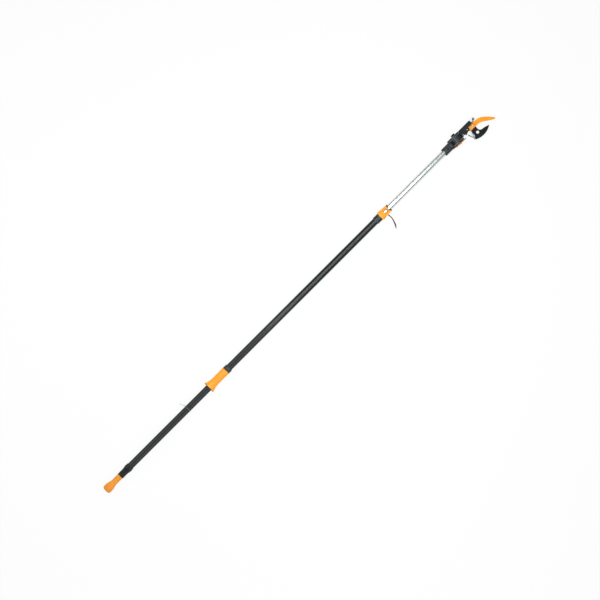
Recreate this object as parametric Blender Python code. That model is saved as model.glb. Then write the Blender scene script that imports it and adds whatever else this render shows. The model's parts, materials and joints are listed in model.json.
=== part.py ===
"""Telescoping pole pruner: two tubes, a sliding pull handle, a lever clamp and a tilting cutting head.

Run with: blender --background --python part.py

Pole frame, in metres: x runs along the pole from the knob's end face to the hook's tip, z is up and zero
on the pole's axis, and y completes the hand. The pole lies flat, and the empty "pole_frame" carries all of
it, so that the floor is z = 0 of the world and the origin is the bottom centre of the whole box.
"""

import math

import bmesh
import bpy
from mathutils import Vector

# ---- clearances ----------------------------------------------------------------------------------------
GAP = 0.0003  # between faces that touch
SLIDE_GAP = 0.0005  # round pieces that slide or turn in one another

# ---- tubes ---------------------------------------------------------------------------------------------
OUTER_R = 0.0149
OUTER_WALL = 0.0014
OUTER_LENGTH = 1.545
GROOVE_WIDTH = 0.0024
GROOVE_DEPTH = 0.0006
TUBE_CLEARANCE = 0.0009  # between the outer tube's bore and the inner tube
INNER_WALL = 0.0012
INNER_SHOWN = 0.3269  # bare inner tube between the clamp's lips and the head socket
TELESCOPE_TRAVEL = 0.70
TUBE_OVERLAP_LEFT = 0.195  # inner tube still held in the outer one at full reach

# ---- end knob and collar -------------------------------------------------------------------------------
KNOB_LENGTH = 0.0875
KNOB_BULB_R = 0.0195
KNOB_BULB_AT = 0.018
KNOB_NECK_R = 0.0134
KNOB_NECK_AT = 0.052
KNOB_RIM_R = 0.0172
CAP_R = 0.0118
CAP_THICKNESS = 0.0034
KNOB_SCREW_R = 0.002
KNOB_SCREW_HEAD_R = 0.004
KNOB_SCREW_HEAD_DEPTH = 0.0046
KNOB_SCREW_LENGTH = 0.045
KNOB_WEB = 0.034  # solid knob between the screw's head and the rod's end
ROD_R = 0.005
COLLAR_LENGTH = 0.062
COLLAR_PLUG = 0.030  # the stretch of the collar below the outer tube's end
COLLAR_RIDGE_HEIGHT = 0.0031  # above the outer tube
COLLAR_RIDGE_AT = 0.049
COLLAR_LIP = 0.0012

# ---- pull handle ---------------------------------------------------------------------------------------
SLIDER_FROM_TUBE_END = 0.5035  # from the outer tube's lower end to the flange
PULL_TRAVEL = 0.108
FLANGE_R = 0.0260
FLANGE_THICKNESS = 0.0020
GRIP_LENGTH = 0.1015
GRIP_WALL = 0.0011
GRIP_FLARE_R = 0.0252
GRIP_FLARE_LENGTH = 0.036
CORE_WALL = 0.0014
CORE_RING_HEIGHT = 0.0012  # above the core
CORE_RING_LENGTH = 0.0142
CORE_TAPER_LENGTH = 0.0050
DRIVE_PIN_R = 0.003
DRIVE_PIN_TOP = 0.0010  # the pin's upper end, above the pole's axis
DRIVE_PIN_FROM_FLANGE = 0.070
DRIVE_PIN_WALL = 0.0045  # block left between the drive pin and the ends of rod and strap
DRIVE_BLOCK_LENGTH = 0.034
DRIVE_BLOCK_GAP = 0.0006
SLOT_END_SPARE = 0.0015

# ---- pull strap ----------------------------------------------------------------------------------------
STRAP_WIDTH = 0.0080
STRAP_THICKNESS = 0.0010
STRAP_PASSAGE_HALF = 0.0030

# ---- stop clip on the outer tube -----------------------------------------------------------------------
CLIP_FROM_FLANGE = 0.1255
CLIP_WIRE_R = 0.0007
CLIP_TAIL = ((0.0, 0.0), (-0.0045, 0.0075), (-0.0105, 0.0178), (-0.0112, 0.0210), (-0.0090, 0.0232))

# ---- telescope clamp -----------------------------------------------------------------------------------
CLAMP_COLLAR_LENGTH = 0.0300
CLAMP_COLLAR_WALL = 0.0020
CLAMP_COLLAR_TAPER = 0.0035
CLAMP_NECK_WALL = 0.0010
CLAMP_NECK_STEP = 0.0040  # collar's neck above the outer tube's upper end
CLAMP_COVERS_COLLAR = 0.0020
CLAMP_OVERLAP = 0.0372  # from the collar's lower end to the outer tube's upper end
CLAMP_WALL = 0.0045  # at the clamp's widest ring
CLAMP_WIDEST_AT = 0.0085
CLAMP_SHOULDER_AT = 0.0190
CLAMP_TIP_AT = 0.0340
CLAMP_SHOULDER_WALL = 0.0027
CLAMP_TIP_WALL = 0.0020  # over the lining
CLAMP_LENGTH = 0.0510
CLAMP_WINDOW_AT = 0.0255
CLAMP_WINDOW_WIDTH = 0.0135
CLAMP_PINCH_AT = 0.0445
CLAMP_PINCH_WIDTH = 0.0040
LINER_WALL = 0.0018
LINER_LIP_HEIGHT = 0.0013  # above the rest of the lining
LINER_LIP_LENGTH = 0.0060
LINER_SLIT = 0.0030
LIP_NOTCH_DEPTH = 0.0092  # from the lips' end to the notch's point
LIP_NOTCH_RIM = 0.0030  # lining that shows round the clamp's notch
CLAMP_SCREW_AT = 0.0435
CLAMP_SCREW_R = 0.0016
CLAMP_SCREW_RISE = 0.0022  # above the clamp's upper end
CLAMP_SCREW_SPAN = 0.0130
CLAMP_SCREW_HEAD_HEIGHT = 0.0016
CLAMP_NUT_HEIGHT = 0.0018
CLAMP_EAR_R = 0.0036
CLAMP_SCREW_HEAD_R = 0.0030
LEVER_PIVOT_AT = 0.0305
LEVER_PIVOT_OUT = 0.0012  # beside the clamp's upper end
LEVER_HALF_HEIGHT = 0.0070
LEVER_CAM_R = 0.0032
LEVER_PIN_R = 0.0015
LEVER_BOSS_HALF_HEIGHT = 0.0112
LEVER_BOSS_LENGTH = 0.0100
LEVER_BOSS_DEPTH = 0.0070
LEVER_SLOT_BACK = 0.0115  # room for the folded lever, towards the knob
LEVER_BOSS_WALL = 0.0013
LEVER_LINE = ((0.0, 0.0), (0.0010, -0.0100), (0.0013, -0.0200), (-0.0007, -0.0300),
              (-0.0045, -0.0420), (-0.0100, -0.0550), (-0.0182, -0.0668))
LEVER_HALF_THICKNESS = (0.0026, 0.0020, 0.0020, 0.0022, 0.0026, 0.0028, 0.0007)

# ---- head socket and knuckle ---------------------------------------------------------------------------
SOCKET_WALL = 0.0046
SOCKET_MOUTH_FLARE = 0.0010
SOCKET_LENGTH = 0.0465
SOCKET_TUBE_DEPTH = 0.0370
SOCKET_NOTCH_DEPTH = 0.0070
SOCKET_PAD_LENGTH = 0.0240
SOCKET_PAD_WIDTH = 0.0170
SOCKET_PAD_HEIGHT = 0.0015
SOCKET_SCREW_R = 0.0018
SOCKET_SCREW_HEAD_R = 0.0036
DRUM_R = 0.0260
FORK_WEB_LENGTH = 0.0080  # from the socket's upper end to the drum's rim
DRUM_LOW_Y = -0.0196
DRUM_HIGH_Y = 0.0235
CHEEK_LOW = 0.0082
CHEEK_HIGH = 0.0082
WEB_HALF_HEIGHT = 0.0125
WASHER_R = 0.0130
WASHER_THICKNESS = 0.0010
KNUCKLE_BOLT_R = 0.0040
KNUCKLE_BOLT_GRIP = 0.0040  # bolt inside its nut
BOSS_R = 0.0096
BOSS_HEIGHT = 0.0066
LOCK_LEVER_THICKNESS = 0.0038
LOCK_LEVER_REACH = 0.0252
LOCK_LEVER_HALF_HEIGHT = 0.0085
LOCK_NUB_R = 0.0046
LOCK_NUB_HEIGHT = 0.0024

# ---- cutting head --------------------------------------------------------------------------------------
HEAD_HALF_HEIGHT = 0.0118
HEAD_PLATE = 0.0040  # thickness of the cover and of the frame's floor
NECK_CLEARANCE = 0.0010  # between the drum's rim and the head's shoulder
HEAD_TOP_Y = 0.0224
HEAD_BOTTOM_Y = -0.0085
HEAD_NOSE_X = 0.0951  # nose of the frame, from the drum's centre
HEAD_POCKET_X = 0.0405  # where the pocket between the plates begins
PIVOT_X = 0.0865  # blade pivot, from the drum's centre
PIVOT_Y = -0.0053
PIVOT_R = 0.0035
PIVOT_HEAD_R = 0.0050
PIVOT_HEAD_HEIGHT = 0.0022
HUB_R = 0.0118
FLOOR_HUB_R = 0.0145
HOOK_THICKNESS = 0.0048
BLADE_THICKNESS = 0.0032
DRIVE_LEVER_THICKNESS = 0.0028
HOOK_ROOT_HALF = 0.0100
HOOK_ROOT_BACK = 0.0185
HOOK_LINE = ((0.0120, 0.0000), (0.0250, -0.0003), (0.0375, -0.0024), (0.0510, -0.0088),
             (0.0660, -0.0202), (0.0800, -0.0322), (0.0915, -0.0424), (0.0938, -0.0446))
HOOK_HALF_WIDTH = (0.0100, 0.0101, 0.0104, 0.0100, 0.0088, 0.0068, 0.0038, 0.0014)
BLADE_EDGE = ((0.0105, -0.0100), (0.0095, -0.0180), (0.0105, -0.0285), (0.0175, -0.0362),
              (0.0330, -0.0388), (0.0540, -0.0450))
BLADE_BACK = ((0.0553, -0.0472), (0.0373, -0.0562), (0.0160, -0.0605), (-0.0053, -0.0588),
              (-0.0224, -0.0535), (-0.0325, -0.0480))
BLADE_HEEL = ((-0.0325, -0.0440), (-0.0240, -0.0405), (-0.0195, -0.0330), (-0.0190, -0.0210),
              (-0.0165, -0.0110))
BLADE_HOLE = (-0.0011, -0.0338)
BLADE_HOLE_R = 0.0064
SPRING_PIN = (-0.0285, -0.0462)
SPRING_PIN_R = 0.0013
DRIVE_TAIL = ((0.0, 0.0), (-0.0120, -0.0060), (-0.0210, -0.0170), (-0.0240, -0.0310), (-0.0285, -0.0462))
DRIVE_TAIL_HALF = (0.0085, 0.0068, 0.0048, 0.0038, 0.0034)
DRIVE_ARM = ((0.0, 0.0), (0.0130, 0.0105), (0.0245, 0.0202))
DRIVE_ARM_HALF = (0.0085, 0.0052, 0.0042)
RIVET = (0.0020, -0.0088)
RIVET_R = 0.0018
ROLLER_R = 0.0050
ROLLER_PIN_R = 0.0016
ROLLER_PLAY = 0.0004
ARM_PIN_HEAD_R = 0.0030
ARM_PIN_HEAD_HEIGHT = 0.0012
BODY_ROLLER_X = 0.0490  # from the drum's centre
SPRING_ANCHOR = (0.0450, -0.0118)  # from the drum's centre, and from the pole's axis
SPRING_R = 0.0034
COVER_SCREW_R = 0.0015
COVER_SCREW_HEAD_R = 0.0027
COVER_SCREW_HEAD_HEIGHT = 0.0010
COVER_SCREW_PLACES = ((0.0330, -0.0045), (0.0600, 0.0000))  # from the drum's centre

SIDES = 32  # sides of a large round piece
SMALL_SIDES = 16  # sides of a pin or screw
CURVE_STEPS = 3  # straight pieces between two points of a smooth outline


# ---- stations along the pole, worked out from the sizes above ------------------------------------------
tube_start = KNOB_LENGTH + GAP + COLLAR_PLUG
tube_end = tube_start + OUTER_LENGTH
flange_x = tube_start + SLIDER_FROM_TUBE_END
grip_start = flange_x + FLANGE_THICKNESS + GAP
grip_end = grip_start + GRIP_LENGTH
drive_pin_x = flange_x + DRIVE_PIN_FROM_FLANGE
clip_x = flange_x - CLIP_FROM_FLANGE
collar_start = tube_end - CLAMP_OVERLAP
clamp_start = collar_start + CLAMP_COLLAR_LENGTH - CLAMP_COVERS_COLLAR
clamp_neck_end = tube_end + GAP + CLAMP_NECK_STEP
clamp_end = clamp_start + CLAMP_LENGTH
lips_end = clamp_end + LINER_LIP_LENGTH
socket_start = lips_end + INNER_SHOWN
socket_end = socket_start + SOCKET_LENGTH
inner_end = socket_start + SOCKET_TUBE_DEPTH
drum_x = socket_end + FORK_WEB_LENGTH + DRUM_R
inner_start = tube_end - TUBE_OVERLAP_LEFT - TELESCOPE_TRAVEL
lever_x = clamp_start + LEVER_PIVOT_AT

# ---- radii that follow from the tubes ------------------------------------------------------------------
bore_r = OUTER_R - OUTER_WALL
inner_r = bore_r - TUBE_CLEARANCE
guide_r = inner_r + SLIDE_GAP
neck_bore_r = OUTER_R + GAP
collar_ridge_r = OUTER_R + COLLAR_RIDGE_HEIGHT
clamp_collar_r = neck_bore_r + CLAMP_COLLAR_WALL
clamp_neck_r = neck_bore_r + CLAMP_NECK_WALL
clamp_bore_r = clamp_neck_r + GAP
clamp_r = clamp_bore_r + CLAMP_WALL
clamp_shoulder_r = clamp_bore_r + CLAMP_SHOULDER_WALL
liner_r = guide_r + LINER_WALL
liner_seat_r = liner_r + GAP
liner_lip_r = liner_r + LINER_LIP_HEIGHT
clamp_tip_r = liner_seat_r + CLAMP_TIP_WALL
clamp_screw_place = (clamp_start + CLAMP_SCREW_AT, 0.0, clamp_tip_r + CLAMP_SCREW_RISE)
lever_y = -clamp_tip_r - LEVER_PIVOT_OUT
core_r = OUTER_R + SLIDE_GAP + CORE_WALL
core_ring_r = core_r + CORE_RING_HEIGHT
grip_r = core_r + GAP + GRIP_WALL
socket_r = inner_r + GAP + SOCKET_WALL
socket_mouth_r = socket_r + SOCKET_MOUTH_FLARE

# Heights of the plates in the cutting head, from the frame's floor up.
floor_top = -HEAD_HALF_HEIGHT + HEAD_PLATE
drive_low = floor_top + GAP
drive_high = drive_low + DRIVE_LEVER_THICKNESS
blade_low = drive_high + GAP
blade_high = blade_low + BLADE_THICKNESS
hook_low = blade_high + GAP
hook_high = hook_low + HOOK_THICKNESS
cover_low = HEAD_HALF_HEIGHT - HEAD_PLATE
roller_low = drive_high + GAP
roller_high = cover_low - GAP
spring_z = blade_high + GAP + SPRING_R
spring_pin_top = spring_z + SPRING_PIN_R


# ---- helpers -------------------------------------------------------------------------------------------
def clear_scene():
    for obj in list(bpy.data.objects):
        bpy.data.objects.remove(obj, do_unlink=True)


def make_material(name, color, roughness, metallic=0.0):
    material = bpy.data.materials.new(name)
    material.use_nodes = True
    shader = material.node_tree.nodes["Principled BSDF"]
    shader.inputs["Base Color"].default_value = (*color, 1.0)
    shader.inputs["Roughness"].default_value = roughness
    shader.inputs["Metallic"].default_value = metallic
    material.diffuse_color = (*color, 1.0)
    return material


def make_empty(name, location, parent=None):
    empty = bpy.data.objects.new(name, None)
    empty.empty_display_size = 0.03
    empty.location = location
    empty.parent = parent
    bpy.context.scene.collection.objects.link(empty)
    return empty


def add_object(name, bm, material, parent, location=(0.0, 0.0, 0.0), smooth=True):
    bmesh.ops.recalc_face_normals(bm, faces=bm.faces)
    mesh = bpy.data.meshes.new(name)
    bm.to_mesh(mesh)
    bm.free()
    if smooth:
        mesh.shade_smooth()
        mesh.set_sharp_from_angle(angle=math.radians(30.0))
    obj = bpy.data.objects.new(name, mesh)
    bpy.context.scene.collection.objects.link(obj)
    obj.parent = parent
    obj.location = location
    if material is None:
        obj.hide_render = True
        obj.display_type = "WIRE"
    else:
        mesh.materials.append(material)
    return obj


def turned_mesh(profile, axis, sides):
    """A closed outline of (along, radius) points turned once round the x, y or z axis."""
    along = {"x": Vector((1, 0, 0)), "y": Vector((0, 1, 0)), "z": Vector((0, 0, 1))}[axis]
    out = Vector((1, 0, 0)) if axis == "z" else Vector((0, 0, -1))
    bm = bmesh.new()
    points = [bm.verts.new(along * a + out * r) for a, r in profile]
    edges = []
    for i, point in enumerate(points):
        after = points[(i + 1) % len(points)]
        if profile[i][1] > 0 or profile[(i + 1) % len(points)][1] > 0:
            edges.append(bm.edges.new((point, after)))
    bmesh.ops.spin(bm, geom=points + edges, cent=(0, 0, 0), axis=along, angle=math.tau, steps=sides,
                   use_merge=True)
    bmesh.ops.remove_doubles(bm, verts=bm.verts, dist=1e-6)
    return bm


def turned(name, profile, material, parent, location=(0, 0, 0), axis="x", sides=SIDES):
    return add_object(name, turned_mesh(profile, axis, sides), material, parent, location)


def rod_profile(start, end, radius):
    return [(start, 0.0), (start, radius), (end, radius), (end, 0.0)]


def ring_profile(start, end, inner, outer):
    return [(start, inner), (start, outer), (end, outer), (end, inner)]


def place_on_plane(plane, u, v, w):
    return (u, v, w) if plane == "xy" else (u, w, v)


def plate_mesh(outline, low, high, plane="xy"):
    """A flat outline made solid between two heights."""
    bm = bmesh.new()
    verts = [bm.verts.new(place_on_plane(plane, u, v, low)) for u, v in outline]
    face = bm.faces.new(verts)
    raised = bmesh.ops.extrude_face_region(bm, geom=[face])["geom"]
    moved = [item for item in raised if isinstance(item, bmesh.types.BMVert)]
    bmesh.ops.translate(bm, verts=moved, vec=place_on_plane(plane, 0.0, 0.0, high - low))
    return bm


def plate(name, outline, low, high, material, parent, location=(0, 0, 0), plane="xy"):
    return add_object(name, plate_mesh(outline, low, high, plane), material, parent, location, smooth=False)


def block_outline(low_x, high_x, low_y, high_y):
    return [(low_x, low_y), (high_x, low_y), (high_x, high_y), (low_x, high_y)]


def arc(centre, radius, start, end, steps):
    """Points on a circle, from one angle in degrees to another."""
    angles = [math.radians(start + (end - start) * i / steps) for i in range(steps + 1)]
    return [(centre[0] + radius * math.cos(a), centre[1] + radius * math.sin(a)) for a in angles]


def smooth_line(points, steps=CURVE_STEPS):
    """A Catmull-Rom curve through points of any number of coordinates."""
    padded = [points[0], *points, points[-1]]
    line = []
    for before, start, end, after in zip(padded, padded[1:], padded[2:], padded[3:]):
        for i in range(steps):
            t = i / steps
            line.append(tuple(
                0.5 * (2 * b + (c - a) * t + (2 * a - 5 * b + 4 * c - d) * t ** 2
                       + (3 * b - a - 3 * c + d) * t ** 3)
                for a, b, c, d in zip(before, start, end, after)))
    return [*line, tuple(points[-1])]


def band_sides(line, half_widths, steps=CURVE_STEPS):
    """The left and right sides of a band of changing width along a smooth line."""
    joined = [(*point, half) for point, half in zip(line, half_widths)]
    curve = smooth_line(joined, steps)
    left = []
    right = []
    for i, (x, y, half) in enumerate(curve):
        before = Vector(curve[max(i - 1, 0)][:2])
        after = Vector(curve[min(i + 1, len(curve) - 1)][:2])
        along = (after - before).normalized()
        left.append((x - along.y * half, y + along.x * half))
        right.append((x + along.y * half, y - along.x * half))
    return left, right


def boolean(target, tool, operation="DIFFERENCE"):
    modifier = target.modifiers.new(f"{operation.lower()}_{tool.name}", "BOOLEAN")
    modifier.operation = operation
    modifier.object = tool
    return target


def hex_nut(name, low, high, across, bore, material, parent, location, plane="xy"):
    """A hexagonal nut whose axis is z, or y on the xz plane."""
    nut = plate(name, arc((0.0, 0.0), across, 0, 300, 5), low, high, material, parent, location, plane)
    axis = "z" if plane == "xy" else "y"
    drill(nut, f"{name}_bore", location, bore, low - 0.01, high + 0.01, axis)


def drill(target, name, location, radius, start, end, axis="z", sides=SMALL_SIDES):
    """A round hole through a piece, as a cutter that is left out of the render."""
    tool = turned(f"{name}_cutter", rod_profile(start, end, radius), None, target.parent, location, axis, sides)
    return boolean(target, tool)


def mill(target, name, outline, low, high, location=(0, 0, 0), plane="xy"):
    """A slot or notch of any outline, as a cutter that is left out of the render."""
    tool = plate(f"{name}_cutter", outline, low, high, None, target.parent, location, plane)
    return boolean(target, tool)


def weld(target, name, bm, location=(0, 0, 0)):
    """A shape that becomes part of the piece."""
    tool = add_object(f"{name}_blank", bm, None, target.parent, location)
    return boolean(target, tool, "UNION")


def ease(t):
    return t * t * (3 - 2 * t)


def eased_radii(start_x, end_x, start_r, end_r, steps):
    return [(start_x + (end_x - start_x) * i / steps, start_r + (end_r - start_r) * ease(i / steps))
            for i in range(steps + 1)]


# ---- the outer pole ------------------------------------------------------------------------------------
def build_outer_tube(frame, paint):
    """A tube with a shallow groove along its top and, below, a slot for the drive pin."""
    half_groove = math.degrees(math.asin(GROOVE_WIDTH / 2 / OUTER_R))
    floor_r = OUTER_R - GROOVE_DEPTH
    outside = arc((0.0, 0.0), OUTER_R, 90 + half_groove, 450 - half_groove, SIDES)
    outside += arc((0.0, 0.0), floor_r, 90 - half_groove, 90 + half_groove, 1)
    inside = arc((0.0, 0.0), bore_r, 90, 450, SIDES)[:-1]
    bm = bmesh.new()
    edges = []
    for loop in (outside, inside):
        verts = [bm.verts.new((tube_start, y, z)) for y, z in loop]
        edges += [bm.edges.new((vert, verts[(i + 1) % len(verts)])) for i, vert in enumerate(verts)]
    section = bmesh.ops.triangle_fill(bm, edges=edges, use_beauty=True)["geom"]
    faces = [item for item in section if isinstance(item, bmesh.types.BMFace)]
    raised = bmesh.ops.extrude_face_region(bm, geom=faces)["geom"]
    moved = [item for item in raised if isinstance(item, bmesh.types.BMVert)]
    bmesh.ops.translate(bm, verts=moved, vec=(OUTER_LENGTH, 0.0, 0.0))
    tube = add_object("outer_tube", bm, paint, frame)
    slot_start = drive_pin_x - PULL_TRAVEL - DRIVE_PIN_R - SLOT_END_SPARE
    slot_end = drive_pin_x + DRIVE_PIN_R + SLOT_END_SPARE
    slot_half = DRIVE_PIN_R + SLIDE_GAP
    slot = block_outline(slot_start, slot_end, -slot_half, slot_half)
    mill(tube, "drive_slot", slot, -OUTER_R - 0.01, -bore_r / 2)


def build_end_collar(frame, plastic):
    start = KNOB_LENGTH + GAP
    ridge = start + COLLAR_RIDGE_AT
    end = start + COLLAR_LENGTH
    lip_r = OUTER_R + GAP + COLLAR_LIP
    profile = [(start, ROD_R + SLIDE_GAP), (start, OUTER_R)]
    profile += eased_radii(start + 0.55 * COLLAR_RIDGE_AT, ridge, OUTER_R, collar_ridge_r, 4)
    profile += [(ridge + 0.0030, collar_ridge_r), (end, lip_r), (end, neck_bore_r)]
    profile += [(tube_start - GAP, neck_bore_r), (tube_start - GAP, ROD_R + SLIDE_GAP)]
    turned("end_collar", profile, plastic, frame)


def build_stop_clip(frame, wire):
    ring_r = OUTER_R + GAP + CLIP_WIRE_R
    section = [(CLIP_WIRE_R * math.cos(a), ring_r + CLIP_WIRE_R * math.sin(a))
               for a in (math.tau * i / 8 for i in range(8))]
    clip = turned("stop_clip", section, wire, frame, (clip_x, 0, 0), sides=24)
    line = smooth_line([(x, ring_r + y, 0.0) for x, y in CLIP_TAIL], 4)
    curve = bpy.data.curves.new("clip_tail", "CURVE")
    curve.dimensions = "3D"
    curve.bevel_depth = CLIP_WIRE_R * 0.98
    curve.bevel_resolution = 2
    curve.use_fill_caps = True
    spline = curve.splines.new("POLY")
    spline.points.add(len(line) - 1)
    for point, place in zip(spline.points, line):
        point.co = (*place, 1.0)
    guide = bpy.data.objects.new("clip_tail_guide", curve)
    bpy.context.scene.collection.objects.link(guide)
    guide.hide_render = True
    bpy.context.view_layer.update()
    evaluated = guide.evaluated_get(bpy.context.evaluated_depsgraph_get())
    tail = bmesh.new()
    tail.from_mesh(evaluated.to_mesh())
    bmesh.ops.remove_doubles(tail, verts=tail.verts, dist=1e-6)
    weld(clip, "clip_tail", tail, (clip_x, 0, 0))


# ---- the telescope clamp -------------------------------------------------------------------------------
def build_clamp_collar(frame, plastic):
    """A sleeve over the outer tube whose upper neck also guides the inner tube."""
    profile = [
        (collar_start, neck_bore_r), (collar_start, neck_bore_r + 0.0010),
        (collar_start + CLAMP_COLLAR_TAPER, clamp_collar_r), (clamp_start - GAP, clamp_collar_r),
        (clamp_start - GAP, clamp_neck_r), (clamp_neck_end, clamp_neck_r), (clamp_neck_end, guide_r),
        (tube_end + GAP, guide_r), (tube_end + GAP, neck_bore_r)]
    turned("clamp_collar", profile, plastic, frame)


def lip_notch(rim):
    """The pointed notch in the lips' upper end, or in the clamp's, which ends a rim's width lower."""
    reach = 1.2
    half = liner_lip_r * reach
    end = lips_end - rim + LIP_NOTCH_DEPTH * (reach - 1)
    return [(lips_end - rim - LIP_NOTCH_DEPTH, 0.0), (end, -half), (end, half)]


def build_clamp_body(frame, plastic):
    neck_end = clamp_neck_end + GAP
    profile = [
        (clamp_start, clamp_bore_r), (clamp_start, clamp_shoulder_r),
        (clamp_start + CLAMP_WIDEST_AT * 0.5, clamp_r - 0.0004),
        (clamp_start + CLAMP_WIDEST_AT, clamp_r), (clamp_start + CLAMP_SHOULDER_AT, clamp_shoulder_r + 0.0004),
        (clamp_start + CLAMP_TIP_AT, clamp_tip_r + 0.0006), (clamp_end, clamp_tip_r), (clamp_end, liner_seat_r),
        (neck_end, liner_seat_r), (neck_end, clamp_bore_r)]
    clamp = turned("clamp_body", profile, plastic, frame)
    pivot = (lever_x, 0, 0)
    boss_low = lever_y - LEVER_PIN_R - LEVER_BOSS_WALL
    boss_outline = block_outline(-LEVER_BOSS_LENGTH / 2, LEVER_BOSS_LENGTH / 2, boss_low,
                                 boss_low + LEVER_BOSS_DEPTH)
    boss = plate_mesh(boss_outline, -LEVER_BOSS_HALF_HEIGHT, LEVER_BOSS_HALF_HEIGHT)
    weld(clamp, "lever_boss", boss, pivot)
    pinch_x = clamp_start + CLAMP_PINCH_AT
    ears = turned_mesh(rod_profile(-CLAMP_SCREW_SPAN / 2, CLAMP_SCREW_SPAN / 2, CLAMP_EAR_R), "y", SMALL_SIDES)
    weld(clamp, "screw_ears", ears, clamp_screw_place)
    half = CLAMP_WINDOW_WIDTH / 2
    pinch = CLAMP_PINCH_WIDTH / 2
    window_x = clamp_start + CLAMP_WINDOW_AT
    side = [(window_x, half), (pinch_x - 0.0060, half), (pinch_x - 0.0030, pinch), (clamp_end + 0.01, pinch)]
    window = [(x, -y) for x, y in side] + side[::-1]
    mill(clamp, "clamp_window", window, 0.0, 0.03)
    mill(clamp, "clamp_notch", lip_notch(LIP_NOTCH_RIM), 0.0, 0.03)
    drill(clamp, "liner_bore", (0, 0, 0), liner_seat_r, neck_end, clamp_end + 0.01, "x", SIDES)
    drill(clamp, "collar_bore", (0, 0, 0), clamp_bore_r, clamp_start - 0.01, neck_end, "x", SIDES)
    drill(clamp, "lever_pin_hole", (lever_x, lever_y, 0), LEVER_PIN_R + GAP, -0.03, 0.03)
    slot = block_outline(-LEVER_SLOT_BACK, LEVER_CAM_R + 4 * GAP, -0.02, LEVER_CAM_R + GAP)
    slot_half = LEVER_HALF_HEIGHT + GAP
    tool = plate("lever_slot_cutter", slot, -slot_half, slot_half, None, frame, (lever_x, lever_y, 0))
    boolean(clamp, tool)
    drill(clamp, "clamp_screw_hole", clamp_screw_place, CLAMP_SCREW_R + GAP, -0.03, 0.03, "y")


def build_clamp_liner(frame, plastic):
    """A split bush round the inner tube, with flared lips that stand out of the clamp."""
    start = clamp_neck_end + GAP
    profile = [
        (start, guide_r), (start, liner_r), (clamp_end + GAP, liner_r), (clamp_end + 2 * GAP, liner_lip_r),
        (lips_end - 0.0010, liner_lip_r), (lips_end, liner_lip_r - 0.0012), (lips_end, guide_r)]
    liner = turned("clamp_liner", profile, plastic, frame)
    half = LINER_SLIT / 2
    window_half = CLAMP_WINDOW_WIDTH / 2 - 0.0030
    window_x = clamp_start + CLAMP_WINDOW_AT + 0.0004
    pinch_x = clamp_start + CLAMP_PINCH_AT
    side = [(window_x, window_half), (pinch_x - 0.0080, window_half), (pinch_x - 0.0040, half),
            (lips_end + 0.01, half)]
    slit = [(x, -y) for x, y in side] + side[::-1]
    mill(liner, "liner_slit", slit, 0.0, 0.03)
    mill(liner, "lip_notch", lip_notch(0.0), 0.0, 0.03)


def build_clamp_screw(frame, steel):
    seat = CLAMP_SCREW_SPAN / 2 + GAP
    nut_end = seat + CLAMP_NUT_HEIGHT
    profile = [(-seat - CLAMP_SCREW_HEAD_HEIGHT, 0.0), (-seat - CLAMP_SCREW_HEAD_HEIGHT, CLAMP_SCREW_HEAD_R),
               (-seat, CLAMP_SCREW_HEAD_R), (-seat, CLAMP_SCREW_R), (nut_end, CLAMP_SCREW_R), (nut_end, 0.0)]
    turned("clamp_screw", profile, steel, frame, clamp_screw_place, "y", SMALL_SIDES)
    bore = CLAMP_SCREW_R + GAP
    hex_nut("clamp_nut", seat, nut_end, CLAMP_SCREW_HEAD_R, bore, steel, frame, clamp_screw_place, "xz")


def build_clamp_lever(frame, steel, plastic):
    turned("lever_pin", rod_profile(-LEVER_BOSS_HALF_HEIGHT, LEVER_BOSS_HALF_HEIGHT, LEVER_PIN_R), steel, frame,
           (lever_x, lever_y, 0), "z", SMALL_SIDES)
    axis = make_empty("clamp_lever_axis", (lever_x, lever_y, 0), frame)
    left, right = band_sides(LEVER_LINE, LEVER_HALF_THICKNESS)
    lever = plate("clamp_lever", left + right[::-1], -LEVER_HALF_HEIGHT, LEVER_HALF_HEIGHT, plastic, axis)
    cam = turned_mesh(rod_profile(-LEVER_HALF_HEIGHT, LEVER_HALF_HEIGHT, LEVER_CAM_R), "z", 20)
    weld(lever, "lever_cam", cam)
    drill(lever, "lever_bore", (0, 0, 0), LEVER_PIN_R + GAP, -0.03, 0.03)


# ---- the pull handle -----------------------------------------------------------------------------------
def build_knob(handle, orange, black, steel):
    head_seat = CAP_THICKNESS + KNOB_SCREW_HEAD_DEPTH
    rod_seat = head_seat + KNOB_WEB
    rod_hole = ROD_R + GAP
    profile = [(CAP_THICKNESS, CAP_R + GAP), (0.0006, CAP_R + GAP), (0.0006, KNOB_RIM_R - 0.0022),
               (0.0030, KNOB_RIM_R)]
    profile += eased_radii(0.0080, KNOB_BULB_AT, KNOB_RIM_R + 0.0016, KNOB_BULB_R, 3)
    profile += eased_radii(KNOB_BULB_AT + 0.0050, KNOB_NECK_AT, KNOB_BULB_R, KNOB_NECK_R, 7)
    profile += [(KNOB_LENGTH, KNOB_NECK_R + 0.0004), (KNOB_LENGTH, rod_hole), (rod_seat, rod_hole),
                (rod_seat, KNOB_SCREW_R + GAP), (head_seat, KNOB_SCREW_R + GAP),
                (head_seat, KNOB_SCREW_HEAD_R + GAP), (CAP_THICKNESS, KNOB_SCREW_HEAD_R + GAP)]
    turned("end_knob", profile, orange, handle)
    turned("knob_cap", rod_profile(0.0, CAP_THICKNESS - GAP, CAP_R), black, handle)
    screw_end = head_seat - GAP + KNOB_SCREW_LENGTH
    screw = [(CAP_THICKNESS + GAP, 0.0), (CAP_THICKNESS + GAP, KNOB_SCREW_HEAD_R),
             (head_seat - GAP, KNOB_SCREW_HEAD_R), (head_seat - GAP, KNOB_SCREW_R), (screw_end, KNOB_SCREW_R),
             (screw_end, 0.0)]
    turned("knob_screw", screw, steel, handle, sides=SMALL_SIDES)
    return rod_seat, screw_end


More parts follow.
